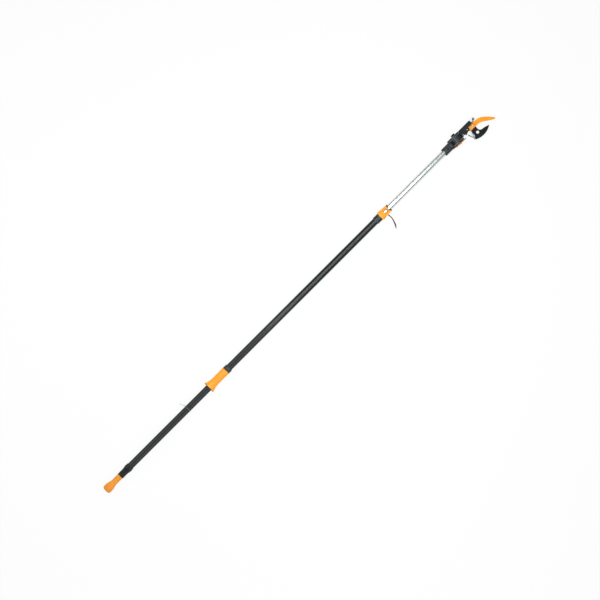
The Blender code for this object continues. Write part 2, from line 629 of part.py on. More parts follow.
def build_pull_rod(handle, rod_seat, screw_end, metal):
    start = rod_seat + GAP
    end = drive_pin_x - DRIVE_PIN_R - DRIVE_PIN_WALL
    hole_r = KNOB_SCREW_R + GAP
    hole_end = screw_end + 0.0020
    profile = [(hole_end, 0.0), (hole_end, hole_r), (start, hole_r), (start, ROD_R), (end, ROD_R), (end, 0.0)]
    turned("pull_rod", profile, metal, handle, sides=SMALL_SIDES)
    return end


def build_drive_block(handle, rod_end, plastic, steel):
    half = DRIVE_BLOCK_LENGTH / 2
    start = drive_pin_x - half
    end = drive_pin_x + half
    block = turned("drive_block", rod_profile(start, end, bore_r - DRIVE_BLOCK_GAP), plastic, handle)
    drill(block, "rod_seat", (0, 0, 0), ROD_R + GAP, start - 0.01, rod_end + GAP, "x")
    drill(block, "drive_pin_seat", (drive_pin_x, 0, 0), DRIVE_PIN_R + GAP, -0.03, DRIVE_PIN_TOP + GAP)
    strap_half = STRAP_WIDTH / 2 + SLIDE_GAP
    gap_half = STRAP_THICKNESS / 2 + SLIDE_GAP
    strap_seat = drive_pin_x + DRIVE_PIN_R + DRIVE_PIN_WALL
    seat = block_outline(strap_seat, end + 0.01, -gap_half, gap_half)
    mill(block, "strap_seat", seat, -strap_half, strap_half)
    pin = rod_profile(-core_r + GAP, DRIVE_PIN_TOP, DRIVE_PIN_R)
    turned("drive_pin", pin, steel, handle, (drive_pin_x, 0, 0), "z", SMALL_SIDES)


def build_slider(handle, orange, black):
    bore = OUTER_R + SLIDE_GAP
    ring_start = grip_end + GAP
    taper_start = ring_start + CORE_RING_LENGTH
    taper_end = taper_start + CORE_TAPER_LENGTH
    core = [(grip_start, bore), (grip_start, core_r), (ring_start, core_r), (ring_start, core_ring_r),
            (taper_start, core_ring_r), (taper_end, bore + 0.0010), (taper_end, bore)]
    sleeve = turned("slider_core", core, black, handle)
    drill(sleeve, "core_pin_hole", (drive_pin_x, 0, 0), DRIVE_PIN_R + GAP, -0.03, 0.0)
    flange_end = flange_x + FLANGE_THICKNESS
    turned("slider_flange", ring_profile(flange_x, flange_end, bore, FLANGE_R), black, handle)
    grip = [(grip_start, core_r + GAP), (grip_start, GRIP_FLARE_R)]
    grip += eased_radii(grip_start + 0.0040, grip_start + GRIP_FLARE_LENGTH, GRIP_FLARE_R - 0.0006, grip_r, 7)
    grip += [(grip_end, grip_r), (grip_end, core_r + GAP)]
    turned("slider_grip", grip, orange, handle)


# ---- the inner tube, its socket and the knuckle --------------------------------------------------------
def build_inner_tube(reach, metal, plastic):
    inner_bore = inner_r - INNER_WALL
    turned("inner_tube", ring_profile(inner_start, inner_end, inner_bore, inner_r), metal, reach)
    bush_r = bore_r - GAP
    plug_r = inner_bore - GAP
    strap_bore = STRAP_WIDTH / 2 + 0.0016
    profile = [(inner_start - GAP - 0.0080, strap_bore), (inner_start - GAP - 0.0080, bush_r),
               (inner_start - GAP, bush_r), (inner_start - GAP, plug_r), (inner_start + 0.0200, plug_r),
               (inner_start + 0.0200, strap_bore)]
    turned("inner_tube_bush", profile, plastic, reach)


def build_socket(reach, plastic, steel):
    """The socket on the inner tube, and the fork whose two round cheeks hold the head's eye."""
    mouth = socket_start + SOCKET_NOTCH_DEPTH
    profile = [(socket_start, 0.0), (socket_start, socket_r), (mouth, socket_r),
               (socket_start + SOCKET_LENGTH * 0.72, socket_r), (socket_end, socket_mouth_r),
               (socket_end + 0.0030, socket_mouth_r - 0.0010), (socket_end + 0.0030, 0.0)]
    socket = turned("head_socket", profile, plastic, reach)
    web_end = drum_x - DRUM_R - SLIDE_GAP
    web = plate_mesh(block_outline(socket_end - 0.0040, web_end, DRUM_LOW_Y, DRUM_HIGH_Y), -WEB_HALF_HEIGHT,
                     WEB_HALF_HEIGHT)
    weld(socket, "fork_web", web)
    for label, low, high in (("low", DRUM_LOW_Y, DRUM_LOW_Y + CHEEK_LOW),
                             ("high", DRUM_HIGH_Y - CHEEK_HIGH, DRUM_HIGH_Y)):
        arm = plate_mesh(block_outline(web_end - 0.0020, drum_x, low, high), -WEB_HALF_HEIGHT, WEB_HALF_HEIGHT)
        weld(socket, f"arm_{label}", arm)
        weld(socket, f"cheek_{label}", turned_mesh(rod_profile(low, high, DRUM_R), "y", 40), (drum_x, 0, 0))
    pad_x = socket_start + SOCKET_LENGTH * 0.52
    pad_outline = block_outline(pad_x - SOCKET_PAD_LENGTH / 2, pad_x + SOCKET_PAD_LENGTH / 2,
                                -SOCKET_PAD_WIDTH / 2, SOCKET_PAD_WIDTH / 2)
    weld(socket, "socket_pad", plate_mesh(pad_outline, inner_r, socket_r + SOCKET_PAD_HEIGHT))
    drill(socket, "socket_bore", (0, 0, 0), inner_r + GAP, socket_start - 0.01, inner_end + GAP, "x", SIDES)
    notch = [(mouth, 0.0), (socket_start - 0.0080, -socket_r), (socket_start - 0.0080, socket_r)]
    mill(socket, "socket_notch", notch, -0.03, 0.03)
    passage_z = STRAP_WIDTH / 2 + SLIDE_GAP * 2
    passage = block_outline(inner_end - 0.0040, web_end + 0.0030, -STRAP_PASSAGE_HALF, STRAP_PASSAGE_HALF)
    mill(socket, "strap_passage", passage, -passage_z, passage_z)
    drill(socket, "knuckle_bore", (drum_x, 0, 0), KNUCKLE_BOLT_R + GAP, -0.04, 0.04, "y", 20)
    drill(socket, "socket_screw_hole", (pad_x, 0, 0), SOCKET_SCREW_R + GAP, 0.0, 0.03)
    head_z = socket_r + SOCKET_PAD_HEIGHT + GAP
    screw = [(inner_r + GAP, 0.0), (inner_r + GAP, SOCKET_SCREW_R), (head_z, SOCKET_SCREW_R),
             (head_z, SOCKET_SCREW_HEAD_R), (head_z + 0.0012, SOCKET_SCREW_HEAD_R), (head_z + 0.0012, 0.0)]
    turned("socket_screw", screw, steel, reach, (pad_x, 0, 0), "z", SMALL_SIDES)


def build_knuckle(reach, black, steel, washer_plastic):
    low_face = DRUM_LOW_Y - GAP - LOCK_LEVER_THICKNESS
    boss_low = DRUM_HIGH_Y + GAP
    bolt = rod_profile(low_face, boss_low + KNUCKLE_BOLT_GRIP, KNUCKLE_BOLT_R)
    turned("knuckle_bolt", bolt, steel, reach, (drum_x, 0, 0), "y", 20)
    hole = KNUCKLE_BOLT_R + GAP
    boss = [(boss_low, hole), (boss_low, BOSS_R), (boss_low + BOSS_HEIGHT - 0.0014, BOSS_R),
            (boss_low + BOSS_HEIGHT, BOSS_R - 0.0014), (boss_low + BOSS_HEIGHT, 0.0),
            (boss_low + KNUCKLE_BOLT_GRIP + GAP, 0.0), (boss_low + KNUCKLE_BOLT_GRIP + GAP, hole)]
    turned("knuckle_nut", boss, black, reach, (drum_x, 0, 0), "y", 24)
    for label, low in (("low", DRUM_LOW_Y + CHEEK_LOW + GAP),
                       ("high", DRUM_HIGH_Y - CHEEK_HIGH - GAP - WASHER_THICKNESS)):
        ring = ring_profile(low, low + WASHER_THICKNESS, hole, WASHER_R)
        turned(f"knuckle_washer_{label}", ring, washer_plastic, reach, (drum_x, 0, 0), "y", 24)


def build_lock_lever(axis, orange, black):
    high = DRUM_LOW_Y - GAP
    low = high - LOCK_LEVER_THICKNESS
    end = LOCK_LEVER_REACH - LOCK_LEVER_HALF_HEIGHT * 0.7
    outline = arc((end, 0.0), LOCK_LEVER_HALF_HEIGHT * 0.7, -70, 70, 5)
    outline += arc((0.0, 0.0), LOCK_LEVER_HALF_HEIGHT * 1.5, 60, 120, 4)
    outline += arc((-end, 0.0), LOCK_LEVER_HALF_HEIGHT * 0.7, 110, 250, 5)
    outline += arc((0.0, 0.0), LOCK_LEVER_HALF_HEIGHT * 1.5, 240, 300, 4)
    lever = plate("lock_lever", outline, low, high, orange, axis, plane="xz")
    weld(lever, "lock_nub", turned_mesh(rod_profile(low - LOCK_NUB_HEIGHT, low + 0.0010, LOCK_NUB_R), "y", 16))
    drill(lever, "lock_bore", (0, 0, 0), KNUCKLE_BOLT_R + GAP, low - GAP, 0.0, "y", 20)
    tip_start = LOCK_LEVER_REACH + GAP
    hook = [(tip_start, high), (tip_start, low + 0.0008), (tip_start + 0.0016, low + 0.0008),
            (tip_start + 0.0030, low + 0.0002), (tip_start + 0.0038, low - 0.0012),
            (tip_start + 0.0052, low - 0.0012), (tip_start + 0.0048, low + 0.0016),
            (tip_start + 0.0036, high - 0.0004), (tip_start + 0.0022, high)]
    plate("lock_lever_tip", hook, -0.0045, 0.0045, black, axis)


# ---- the cutting head ----------------------------------------------------------------------------------
def build_head_frame(head, plastic):
    """The eye in the knuckle, the neck and the floor plate, open above for the lever, rollers and strap."""
    eye_low = DRUM_LOW_Y + CHEEK_LOW + SLIDE_GAP
    eye_high = DRUM_HIGH_Y - CHEEK_HIGH - SLIDE_GAP
    recess = WASHER_THICKNESS + 2 * GAP - SLIDE_GAP
    shoulder = DRUM_R + NECK_CLEARANCE
    frame = turned("head_frame", rod_profile(eye_low, eye_high, DRUM_R), plastic, head, axis="y", sides=40)
    neck = block_outline(DRUM_R * 0.4, shoulder + 0.0040, eye_low, eye_high)
    weld(frame, "frame_neck", plate_mesh(neck, -HEAD_HALF_HEIGHT, cover_low - GAP))
    hub = (PIVOT_X, PIVOT_Y)
    outline = [(shoulder, HEAD_BOTTOM_Y), (SPRING_ANCHOR[0] - 0.0050, HEAD_BOTTOM_Y)]
    outline += arc(SPRING_ANCHOR, 0.0038, 200, 330, 5)
    outline += [(PIVOT_X - 0.0260, HEAD_BOTTOM_Y)]
    outline += arc(hub, FLOOR_HUB_R, 235, 395, 10)
    outline += [(HEAD_NOSE_X, HEAD_TOP_Y - 0.0060), (HEAD_NOSE_X - 0.0040, HEAD_TOP_Y), (shoulder, HEAD_TOP_Y)]
    weld(frame, "frame_floor", plate_mesh(outline, -HEAD_HALF_HEIGHT, floor_top))
    walls = block_outline(shoulder, HEAD_POCKET_X, HEAD_BOTTOM_Y, HEAD_TOP_Y)
    weld(frame, "frame_walls", plate_mesh(walls, -HEAD_HALF_HEIGHT, cover_low - GAP))
    ledge = block_outline(HEAD_POCKET_X - 0.0010, HEAD_NOSE_X - 0.0030, PIVOT_Y + HOOK_ROOT_HALF + GAP,
                          PIVOT_Y + HOOK_ROOT_HALF + GAP + 0.0024)
    weld(frame, "frame_ledge", plate_mesh(ledge, hook_low, cover_low - GAP))
    keeper = block_outline(HEAD_POCKET_X - 0.0010, PIVOT_X - HOOK_ROOT_BACK - 0.0006, HEAD_BOTTOM_Y,
                           PIVOT_Y + HOOK_ROOT_HALF + GAP + 0.0024)
    weld(frame, "frame_keeper", plate_mesh(keeper, hook_low, cover_low - GAP))
    drill(frame, "eye_bore", (0, 0, 0), KNUCKLE_BOLT_R + GAP, -0.04, 0.04, "y", 20)
    drill(frame, "recess_low", (0, 0, 0), WASHER_R + GAP, eye_low - 0.01, eye_low + recess, "y", 24)
    drill(frame, "recess_high", (0, 0, 0), WASHER_R + GAP, eye_high - recess, eye_high + 0.01, "y", 24)
    drill(frame, "pivot_hole", (*hub, 0), PIVOT_R + GAP, -0.03, 0.0)
    passage_y = roller_y()
    mill(frame, "strap_way", block_outline(shoulder - 0.0030, HEAD_POCKET_X + 0.0010, passage_y - 0.0022,
                                           passage_y + 0.0022), roller_low, roller_high)
    drill(frame, "body_roller_hole", (BODY_ROLLER_X, passage_y, 0), ROLLER_PIN_R + GAP, -0.03, 0.0)
    drill(frame, "anchor_hole", (*SPRING_ANCHOR, 0), SPRING_PIN_R + GAP, -0.03, 0.0)
    for i, place in enumerate(COVER_SCREW_PLACES):
        drill(frame, f"cover_screw_seat_{i}", (*place, 0), COVER_SCREW_R + GAP, hook_low, 0.03)
    return hub


def roller_y():
    return PIVOT_Y + DRIVE_ARM[-1][1]


def build_head_cover(head, plastic, steel):
    shoulder = DRUM_R + NECK_CLEARANCE
    root_x = PIVOT_X - HOOK_ROOT_BACK - 0.0010
    edge_y = PIVOT_Y + HOOK_ROOT_HALF + GAP
    outline = [(shoulder, HEAD_BOTTOM_Y), (root_x - 0.0070, HEAD_BOTTOM_Y), (root_x, HEAD_BOTTOM_Y + 0.0040),
               (root_x, edge_y - 0.0040), (root_x + 0.0040, edge_y)]
    outline += [(HEAD_NOSE_X - 0.0010, edge_y), (HEAD_NOSE_X, HEAD_TOP_Y - 0.0060),
                (HEAD_NOSE_X - 0.0040, HEAD_TOP_Y), (shoulder, HEAD_TOP_Y)]
    cover = plate("head_cover", outline, cover_low, HEAD_HALF_HEIGHT, plastic, head)
    for i, (x, y) in enumerate(COVER_SCREW_PLACES):
        drill(cover, f"cover_hole_{i}", (x, y, 0), COVER_SCREW_R + GAP, 0.0, 0.03)
        seat = HEAD_HALF_HEIGHT + GAP
        tip = hook_low + 0.0006
        top = seat + COVER_SCREW_HEAD_HEIGHT
        screw = [(tip, 0.0), (tip, COVER_SCREW_R), (seat, COVER_SCREW_R), (seat, COVER_SCREW_HEAD_R),
                 (top, COVER_SCREW_HEAD_R - 0.0004), (top, 0.0)]
        turned(f"cover_screw_{i + 1}", screw, steel, head, (x, y, 0), "z", 12)
    drill(cover, "cover_roller_hole", (BODY_ROLLER_X, roller_y(), 0), ROLLER_PIN_R + GAP, 0.0,
          cover_low + HEAD_PLATE * 0.5)


def build_hook(head, hub, orange):
    left, right = band_sides(HOOK_LINE, HOOK_HALF_WIDTH)
    corner = HOOK_ROOT_HALF * 0.8
    back = HOOK_ROOT_BACK - corner
    root = arc((-back, HOOK_ROOT_HALF - corner), corner, 90, 180, 4)
    root += arc((-back, corner - HOOK_ROOT_HALF), corner, 180, 270, 4)
    hook = plate("hook", root + right + left[::-1], hook_low, hook_high, orange, head, (*hub, 0))
    drill(hook, "hook_bore", (*hub, 0), PIVOT_R + GAP, -0.03, 0.03)


def build_pivot(head, hub, steel):
    seat = hook_high + GAP
    nut_seat = -HEAD_HALF_HEIGHT - GAP
    profile = [(nut_seat - 0.0045, 0.0), (nut_seat - 0.0045, PIVOT_R), (seat, PIVOT_R), (seat, PIVOT_HEAD_R),
               (seat + PIVOT_HEAD_HEIGHT * 0.6, PIVOT_HEAD_R),
               (seat + PIVOT_HEAD_HEIGHT, PIVOT_HEAD_R - 0.0010), (seat + PIVOT_HEAD_HEIGHT, 0.0)]
    turned("pivot_screw", profile, steel, head, (*hub, 0), "z", 20)
    hex_nut("pivot_nut", nut_seat - 0.0040, nut_seat, 0.0062, PIVOT_R + GAP, steel, head, (*hub, 0))


def build_spring(head, hub, steel):
    """A plain outer shape of the extension spring, between its pin on the frame and its pin on the blade."""
    start = Vector((*SPRING_ANCHOR, spring_z))
    end = Vector((hub[0] + SPRING_PIN[0], hub[1] + SPRING_PIN[1], spring_z))
    way = end - start
    clear = SPRING_PIN_R + GAP
    profile = rod_profile(clear, way.length - clear, SPRING_R)
    spring = turned("return_spring", profile, steel, head, start, "x", 12)
    spring.rotation_euler = (0.0, 0.0, math.atan2(way.y, way.x))
    anchor = rod_profile(-HEAD_HALF_HEIGHT, spring_pin_top, SPRING_PIN_R)
    turned("spring_anchor", anchor, steel, head, (*SPRING_ANCHOR, 0), "z", 12)


def build_head_strap(head, hub, webbing):
    """One turn of strap round the two rollers, as a closed loop."""
    y = roller_y()
    start = BODY_ROLLER_X
    end = hub[0] + DRIVE_ARM[-1][0]
    inner_r = ROLLER_R + GAP
    outer_r = inner_r + STRAP_THICKNESS
    outer = arc((end, y), outer_r, -90, 90, 10) + arc((start, y), outer_r, 90, 270, 10)
    inner = arc((end, y), inner_r, -90, 90, 10) + arc((start, y), inner_r, 90, 270, 10)
    low = roller_low + 0.0010
    loop = plate("head_strap", outer, low, low + STRAP_WIDTH, webbing, head)
    mill(loop, "head_strap_inside", inner, low - 0.01, low + STRAP_WIDTH + 0.01)


def build_rollers(head, blade_axis, hub, plastic, steel):
    y = roller_y()
    low = roller_low + ROLLER_PLAY
    high = roller_high - ROLLER_PLAY
    body_place = (BODY_ROLLER_X, y, 0)
    body_pin = rod_profile(-HEAD_HALF_HEIGHT, cover_low + HEAD_PLATE * 0.5 - GAP, ROLLER_PIN_R)
    turned("body_roller_pin", body_pin, steel, head, body_place, "z", 12)
    body_axis = make_empty("body_roller_axis", body_place, head)
    turned("body_roller", ring_profile(low, high, ROLLER_PIN_R + GAP, ROLLER_R), plastic, body_axis, axis="z",
           sides=20)
    arm_place = (DRIVE_ARM[-1][0], DRIVE_ARM[-1][1], 0)
    neck = high - ARM_PIN_HEAD_HEIGHT
    arm_pin = [(drive_low, 0.0), (drive_low, ROLLER_PIN_R), (neck, ROLLER_PIN_R), (neck, ARM_PIN_HEAD_R),
               (high, ARM_PIN_HEAD_R), (high, 0.0)]
    turned("arm_roller_pin", arm_pin, steel, blade_axis, arm_place, "z", 12)
    arm_axis = make_empty("arm_roller_axis", arm_place, blade_axis)
    turned("arm_roller", ring_profile(low, neck - ROLLER_PLAY, ROLLER_PIN_R + GAP, ROLLER_R), plastic, arm_axis,
           axis="z", sides=20)


def build_blade(blade_axis, coated, steel):
    hub_arc = arc((0.0, 0.0), HUB_R, 215, -45, 14)
    outline = hub_arc + smooth_line(BLADE_EDGE, 2) + smooth_line(BLADE_BACK, 2) + smooth_line(BLADE_HEEL, 2)
    blade = plate("blade", outline, blade_low, blade_high, coated, blade_axis)
    drill(blade, "blade_bore", (0, 0, 0), PIVOT_R + GAP, -0.03, 0.03)
    drill(blade, "blade_hole", (*BLADE_HOLE, 0), BLADE_HOLE_R, -0.03, 0.03, "z", 24)
    left, right = band_sides(DRIVE_TAIL, DRIVE_TAIL_HALF, 2)
    lever = plate("drive_lever", left + right[::-1], drive_low, drive_high, steel, blade_axis)
    arm_left, arm_right = band_sides(DRIVE_ARM, DRIVE_ARM_HALF, 2)
    weld(lever, "drive_arm", plate_mesh(arm_left + arm_right[::-1], drive_low, drive_high))
    for label, place, radius in (("hub", (0, 0), HUB_R - 0.0016), ("end", DRIVE_ARM[-1], DRIVE_ARM_HALF[-1]),
                                 ("tail", DRIVE_TAIL[-1], DRIVE_TAIL_HALF[-1])):
        round_end = turned_mesh(rod_profile(drive_low, drive_high, radius), "z", 20)
        weld(lever, f"drive_{label}", round_end, (*place, 0))
    drill(lever, "drive_bore", (0, 0, 0), PIVOT_R + GAP, -0.03, 0.03)
    drill(lever, "drive_roller_hole", (*DRIVE_ARM[-1], 0), ROLLER_PIN_R + GAP, -0.03, 0.03)
    for piece, name in ((blade, "blade"), (lever, "drive")):
        drill(piece, f"{name}_rivet_hole", (*RIVET, 0), RIVET_R + GAP, -0.03, 0.03)
        drill(piece, f"{name}_spring_hole", (*SPRING_PIN, 0), SPRING_PIN_R + GAP, -0.03, 0.03)
    turned("blade_rivet", rod_profile(drive_low, blade_high, RIVET_R), steel, blade_axis, (*RIVET, 0), "z", 12)
    turned("spring_pin", rod_profile(drive_low, spring_pin_top, SPRING_PIN_R), steel, blade_axis,
           (*SPRING_PIN, 0), "z", 12)


def build_strap(strap_slide, webbing):
    start = drive_pin_x + DRIVE_PIN_R + DRIVE_PIN_WALL + GAP
    end = drum_x - DRUM_R - 0.0010
    half = STRAP_THICKNESS / 2
    plate("pull_strap", block_outline(start, end, -half, half), -STRAP_WIDTH / 2, STRAP_WIDTH / 2, webbing,
          strap_slide)


def stand_on_origin(frame):
    """Moves the whole pole so that the bottom centre of its box is the world's origin."""
    bpy.context.view_layer.update()
    graph = bpy.context.evaluated_depsgraph_get()
    low = Vector((math.inf, math.inf, math.inf))
    high = -low
    for obj in bpy.context.scene.objects:
        if obj.type != "MESH" or obj.hide_render:
            continue
        evaluated = obj.evaluated_get(graph)
        for vertex in evaluated.data.vertices:
            place = evaluated.matrix_world @ vertex.co
            low = Vector(map(min, low, place))
            high = Vector(map(max, high, place))
    frame.location -= Vector(((low.x + high.x) / 2, (low.y + high.y) / 2, low.z))
    bpy.context.view_layer.update()


def main():
    clear_scene()
    orange = make_material("orange_plastic", (1.0, 0.38, 0.03), 0.42)
    black = make_material("black_plastic", (0.03, 0.035, 0.04), 0.5)
    black_paint = make_material("black_tube_paint", (0.02, 0.028, 0.028), 0.35)
    rubber = make_material("black_rubber", (0.02, 0.02, 0.022), 0.7)
    aluminium = make_material("aluminium", (0.85, 0.86, 0.86), 0.3, 1.0)
    steel = make_material("steel", (0.6, 0.61, 0.62), 0.3, 1.0)
    coated = make_material("black_coated_steel", (0.03, 0.035, 0.038), 0.38, 0.4)
    orange_steel = make_material("orange_coated_steel", (1.0, 0.42, 0.03), 0.4)
    webbing = make_material("pale_webbing", (0.75, 0.74, 0.7), 0.8)

    frame = make_empty("pole_frame", (0, 0, 0))
    build_outer_tube(frame, black_paint)
    build_end_collar(frame, black)
    build_stop_clip(frame, steel)
    build_clamp_collar(frame, black)
    build_clamp_body(frame, orange)
    build_clamp_liner(frame, rubber)
    build_clamp_screw(frame, steel)
    build_clamp_lever(frame, steel, black)

    handle = make_empty("pull_handle_slide", (0, 0, 0), frame)
    rod_seat, screw_end = build_knob(handle, orange, rubber, steel)
    rod_end = build_pull_rod(handle, rod_seat, screw_end, aluminium)
    build_drive_block(handle, rod_end, black, steel)
    build_slider(handle, orange, black)

    reach = make_empty("telescope_slide", (0, 0, 0), frame)
    build_inner_tube(reach, aluminium, black)
    build_socket(reach, black, steel)
    build_knuckle(reach, black, steel, rubber)
    build_strap(make_empty("strap_slide", (0, 0, 0), reach), webbing)
    build_lock_lever(make_empty("lock_lever_axis", (drum_x, 0, 0), reach), orange, black)

    head = make_empty("head_tilt_axis", (drum_x, 0, 0), reach)
    hub = build_head_frame(head, black)
    build_head_cover(head, black, steel)
    build_hook(head, hub, orange_steel)
    build_pivot(head, hub, steel)
    build_spring(head, hub, steel)
    build_head_strap(head, hub, webbing)
    blade_axis = make_empty("blade_axis", (*hub, 0), head)
    build_blade(blade_axis, coated, steel)
    build_rollers(head, blade_axis, hub, black, steel)

    stand_on_origin(frame)


main()
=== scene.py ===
"""Looks of the telescoping pole pruner: detailed pieces, materials, floor, light and camera."""

import json
import math

import bmesh
import bpy
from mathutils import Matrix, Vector


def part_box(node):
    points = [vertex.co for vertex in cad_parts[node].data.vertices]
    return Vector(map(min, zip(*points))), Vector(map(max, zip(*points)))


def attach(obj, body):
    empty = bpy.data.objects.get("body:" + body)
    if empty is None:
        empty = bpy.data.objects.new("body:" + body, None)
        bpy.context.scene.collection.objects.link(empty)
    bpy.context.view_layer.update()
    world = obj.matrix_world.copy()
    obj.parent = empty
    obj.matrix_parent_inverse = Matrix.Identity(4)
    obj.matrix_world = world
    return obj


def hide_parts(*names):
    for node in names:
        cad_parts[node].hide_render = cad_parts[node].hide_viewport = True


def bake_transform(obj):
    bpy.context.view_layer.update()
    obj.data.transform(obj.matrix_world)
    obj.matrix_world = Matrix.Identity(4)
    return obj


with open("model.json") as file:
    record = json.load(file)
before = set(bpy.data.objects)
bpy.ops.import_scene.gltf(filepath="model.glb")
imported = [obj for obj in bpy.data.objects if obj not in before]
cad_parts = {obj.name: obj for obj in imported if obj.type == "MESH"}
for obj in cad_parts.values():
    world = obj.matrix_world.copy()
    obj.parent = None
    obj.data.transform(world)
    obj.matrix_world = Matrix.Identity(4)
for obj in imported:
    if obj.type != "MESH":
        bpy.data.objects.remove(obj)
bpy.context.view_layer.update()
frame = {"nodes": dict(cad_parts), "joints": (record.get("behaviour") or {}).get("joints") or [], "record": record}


# ---- places read from the frame ----
def low(node):
    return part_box(node)[0]


def high(node):
    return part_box(node)[1]


def centre(node):
    return (low(node) + high(node)) / 2


def half_size(node):
    return (high(node) - low(node)) / 2


AXIS = Vector((0.0, centre("inner_tube").y, centre("inner_tube").z))  # the pole's own axis


def span(node, direction, origin=AXIS):
    """A node's lowest and highest place along a direction, measured from an origin."""
    return [getattr(corner, direction) - getattr(origin, direction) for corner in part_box(node)]


def upright(node):
    """Where the upright line through a node's middle meets the level of the pole's axis."""
    return Vector((centre(node).x, centre(node).y, AXIS.z))


def offset(node, origin):
    """How far a node's middle lies from an origin, seen from above."""
    return (centre(node).x - origin.x, centre(node).y - origin.y)


DRUM = Vector((centre("knuckle_bolt").x, AXIS.y, AXIS.z))
HUB = upright("pivot_screw")
OUTER_R = half_size("outer_tube").y
INNER_R = half_size("inner_tube").y
GAP = 0.0003
REACH = 0.03  # how far a cutting tool goes past the piece that it cuts
SIDES = 96
SMALL_SIDES = 40


# ---- outlines ----
def smooth_line(points, steps=8):
    """A Catmull-Rom curve through points of any number of coordinates."""
    padded = [points[0], *points, points[-1]]
    line = []
    for a, b, c, d in zip(padded, padded[1:], padded[2:], padded[3:]):
        for i in range(steps):
            t = i / steps
            line.append(tuple(
                0.5 * (2 * q + (r - p) * t + (2 * p - 5 * q + 4 * r - s) * t ** 2
                       + (3 * q - p - 3 * r + s) * t ** 3)
                for p, q, r, s in zip(a, b, c, d)))
    return [*line, tuple(points[-1])]


def band_sides(line, half_widths, steps=8):
    """The left and right sides of a band of changing width along a smooth line."""
    curve = smooth_line([(*point, half) for point, half in zip(line, half_widths)], steps)
    left = []
    right = []
    for i, (x, y, half) in enumerate(curve):
        before = Vector(curve[max(i - 1, 0)][:2])
        after = Vector(curve[min(i + 1, len(curve) - 1)][:2])
        along = (after - before).normalized()
        left.append((x - along.y * half, y + along.x * half))
        right.append((x + along.y * half, y - along.x * half))
    return left, right


def arc(middle, radius, start, end, steps):
    """Points on a circle, from one angle in degrees to another."""
    angles = [math.radians(start + (end - start) * i / steps) for i in range(steps + 1)]
    return [(middle[0] + radius * math.cos(a), middle[1] + radius * math.sin(a)) for a in angles]


def circle(middle, radius, sides=24):
    return arc(middle, radius, 0, 360 - 360 / sides, sides - 1)


def block(low_x, high_x, low_y, high_y):
    return [(low_x, low_y), (high_x, low_y), (high_x, high_y), (low_x, high_y)]


def placed(start, points):
    """Points given from a start along the pole."""
    return [(start + x, y) for x, y in points]


def mirrored(side):
    """An outline that is the same on both sides of the pole's axis."""
    return [(x, -y) for x, y in side] + side[::-1]


def grooves(first, pitch, count, radius, width, depth, slope):
    """The outline of a row of shallow turned grooves."""
    line = []
    floor_r = radius - depth
    for i in range(count):
        corners = ((0.0, radius), (slope, floor_r), (width - slope, floor_r), (width, radius))
        line += placed(first + i * pitch, corners)
    return line


NEARLY_STRAIGHT = math.radians(168)
FILLET_STEPS = 4


def fillet(points, radius):
    """A closed outline with rounded corners. Corners on the turning axis stay sharp."""
    rounded = []
    for i, point in enumerate(points):
        here = Vector(point)
        before = Vector(points[i - 1]) - here
        after = Vector(points[(i + 1) % len(points)]) - here
        if abs(here.y) < 1e-9 or before.length < 1e-9 or after.length < 1e-9:
            rounded.append(tuple(here))
            continue
        bend = before.angle(after)
        if bend > NEARLY_STRAIGHT:
            rounded.append(tuple(here))
            continue
        cut = min(radius / math.tan(bend / 2), 0.45 * before.length, 0.45 * after.length)
        start = here + before.normalized() * cut
        end = here + after.normalized() * cut
        for j in range(FILLET_STEPS + 1):
            t = j / FILLET_STEPS
            rounded.append(tuple(start * (1 - t) ** 2 + here * 2 * t * (1 - t) + end * t ** 2))
    return rounded


def ease(t):
    return t * t * (3 - 2 * t)


def share(value):
    """A value held between 0 and 1."""
    return min(max(value, 0), 1)


def eased(start_x, end_x, start_r, end_r, steps=14):
    return [(start_x + (end_x - start_x) * i / steps, start_r + (end_r - start_r) * ease(i / steps))
            for i in range(steps + 1)]


def resample(line, step):
    """A line with more points, no further apart than a step."""
    dense = []
    for (x0, r0), (x1, r1) in zip(line, line[1:]):
        pieces = max(1, math.ceil(math.hypot(x1 - x0, r1 - r0) / step))
        dense += [(x0 + (x1 - x0) * i / pieces, r0 + (r1 - r0) * i / pieces) for i in range(pieces)]
    return [*dense, line[-1]]


def signed_area(points):
    return sum(x0 * y1 - x1 * y0 for (x0, y0), (x1, y1) in zip(points, points[1:] + points[:1])) / 2


def inset(points, distances):
    """An outline that runs against the clock, drawn in by a distance at each point."""
    moved = []
    for i, point in enumerate(points):
        here = Vector(point)
        before = (here - Vector(points[i - 1])).normalized()
        after = (Vector(points[(i + 1) % len(points)]) - here).normalized()
        normal = Vector((-before.y - after.y, before.x + after.x))
        if normal.length < 1e-6:
            normal = Vector((-after.y, after.x))
        normal.normalize()
        stretch = min(1.0 / max(normal.dot(Vector((-after.y, after.x))), 0.5), 1.6)
        moved.append(tuple(here + normal * distances[i] * stretch))
    return moved


# ---- meshes ----
def new_object(name, bm, sharp=35.0, weighted=False):
    bmesh.ops.recalc_face_normals(bm, faces=bm.faces)
    mesh = bpy.data.meshes.new(name)
    bm.to_mesh(mesh)
    bm.free()
    mesh.shade_smooth()
    mesh.set_sharp_from_angle(angle=math.radians(sharp))
    obj = bpy.data.objects.new(name, mesh)
    bpy.context.scene.collection.objects.link(obj)
    if weighted:
        obj.modifiers.new("flat_faces", "WEIGHTED_NORMAL").keep_sharp = True
    return obj


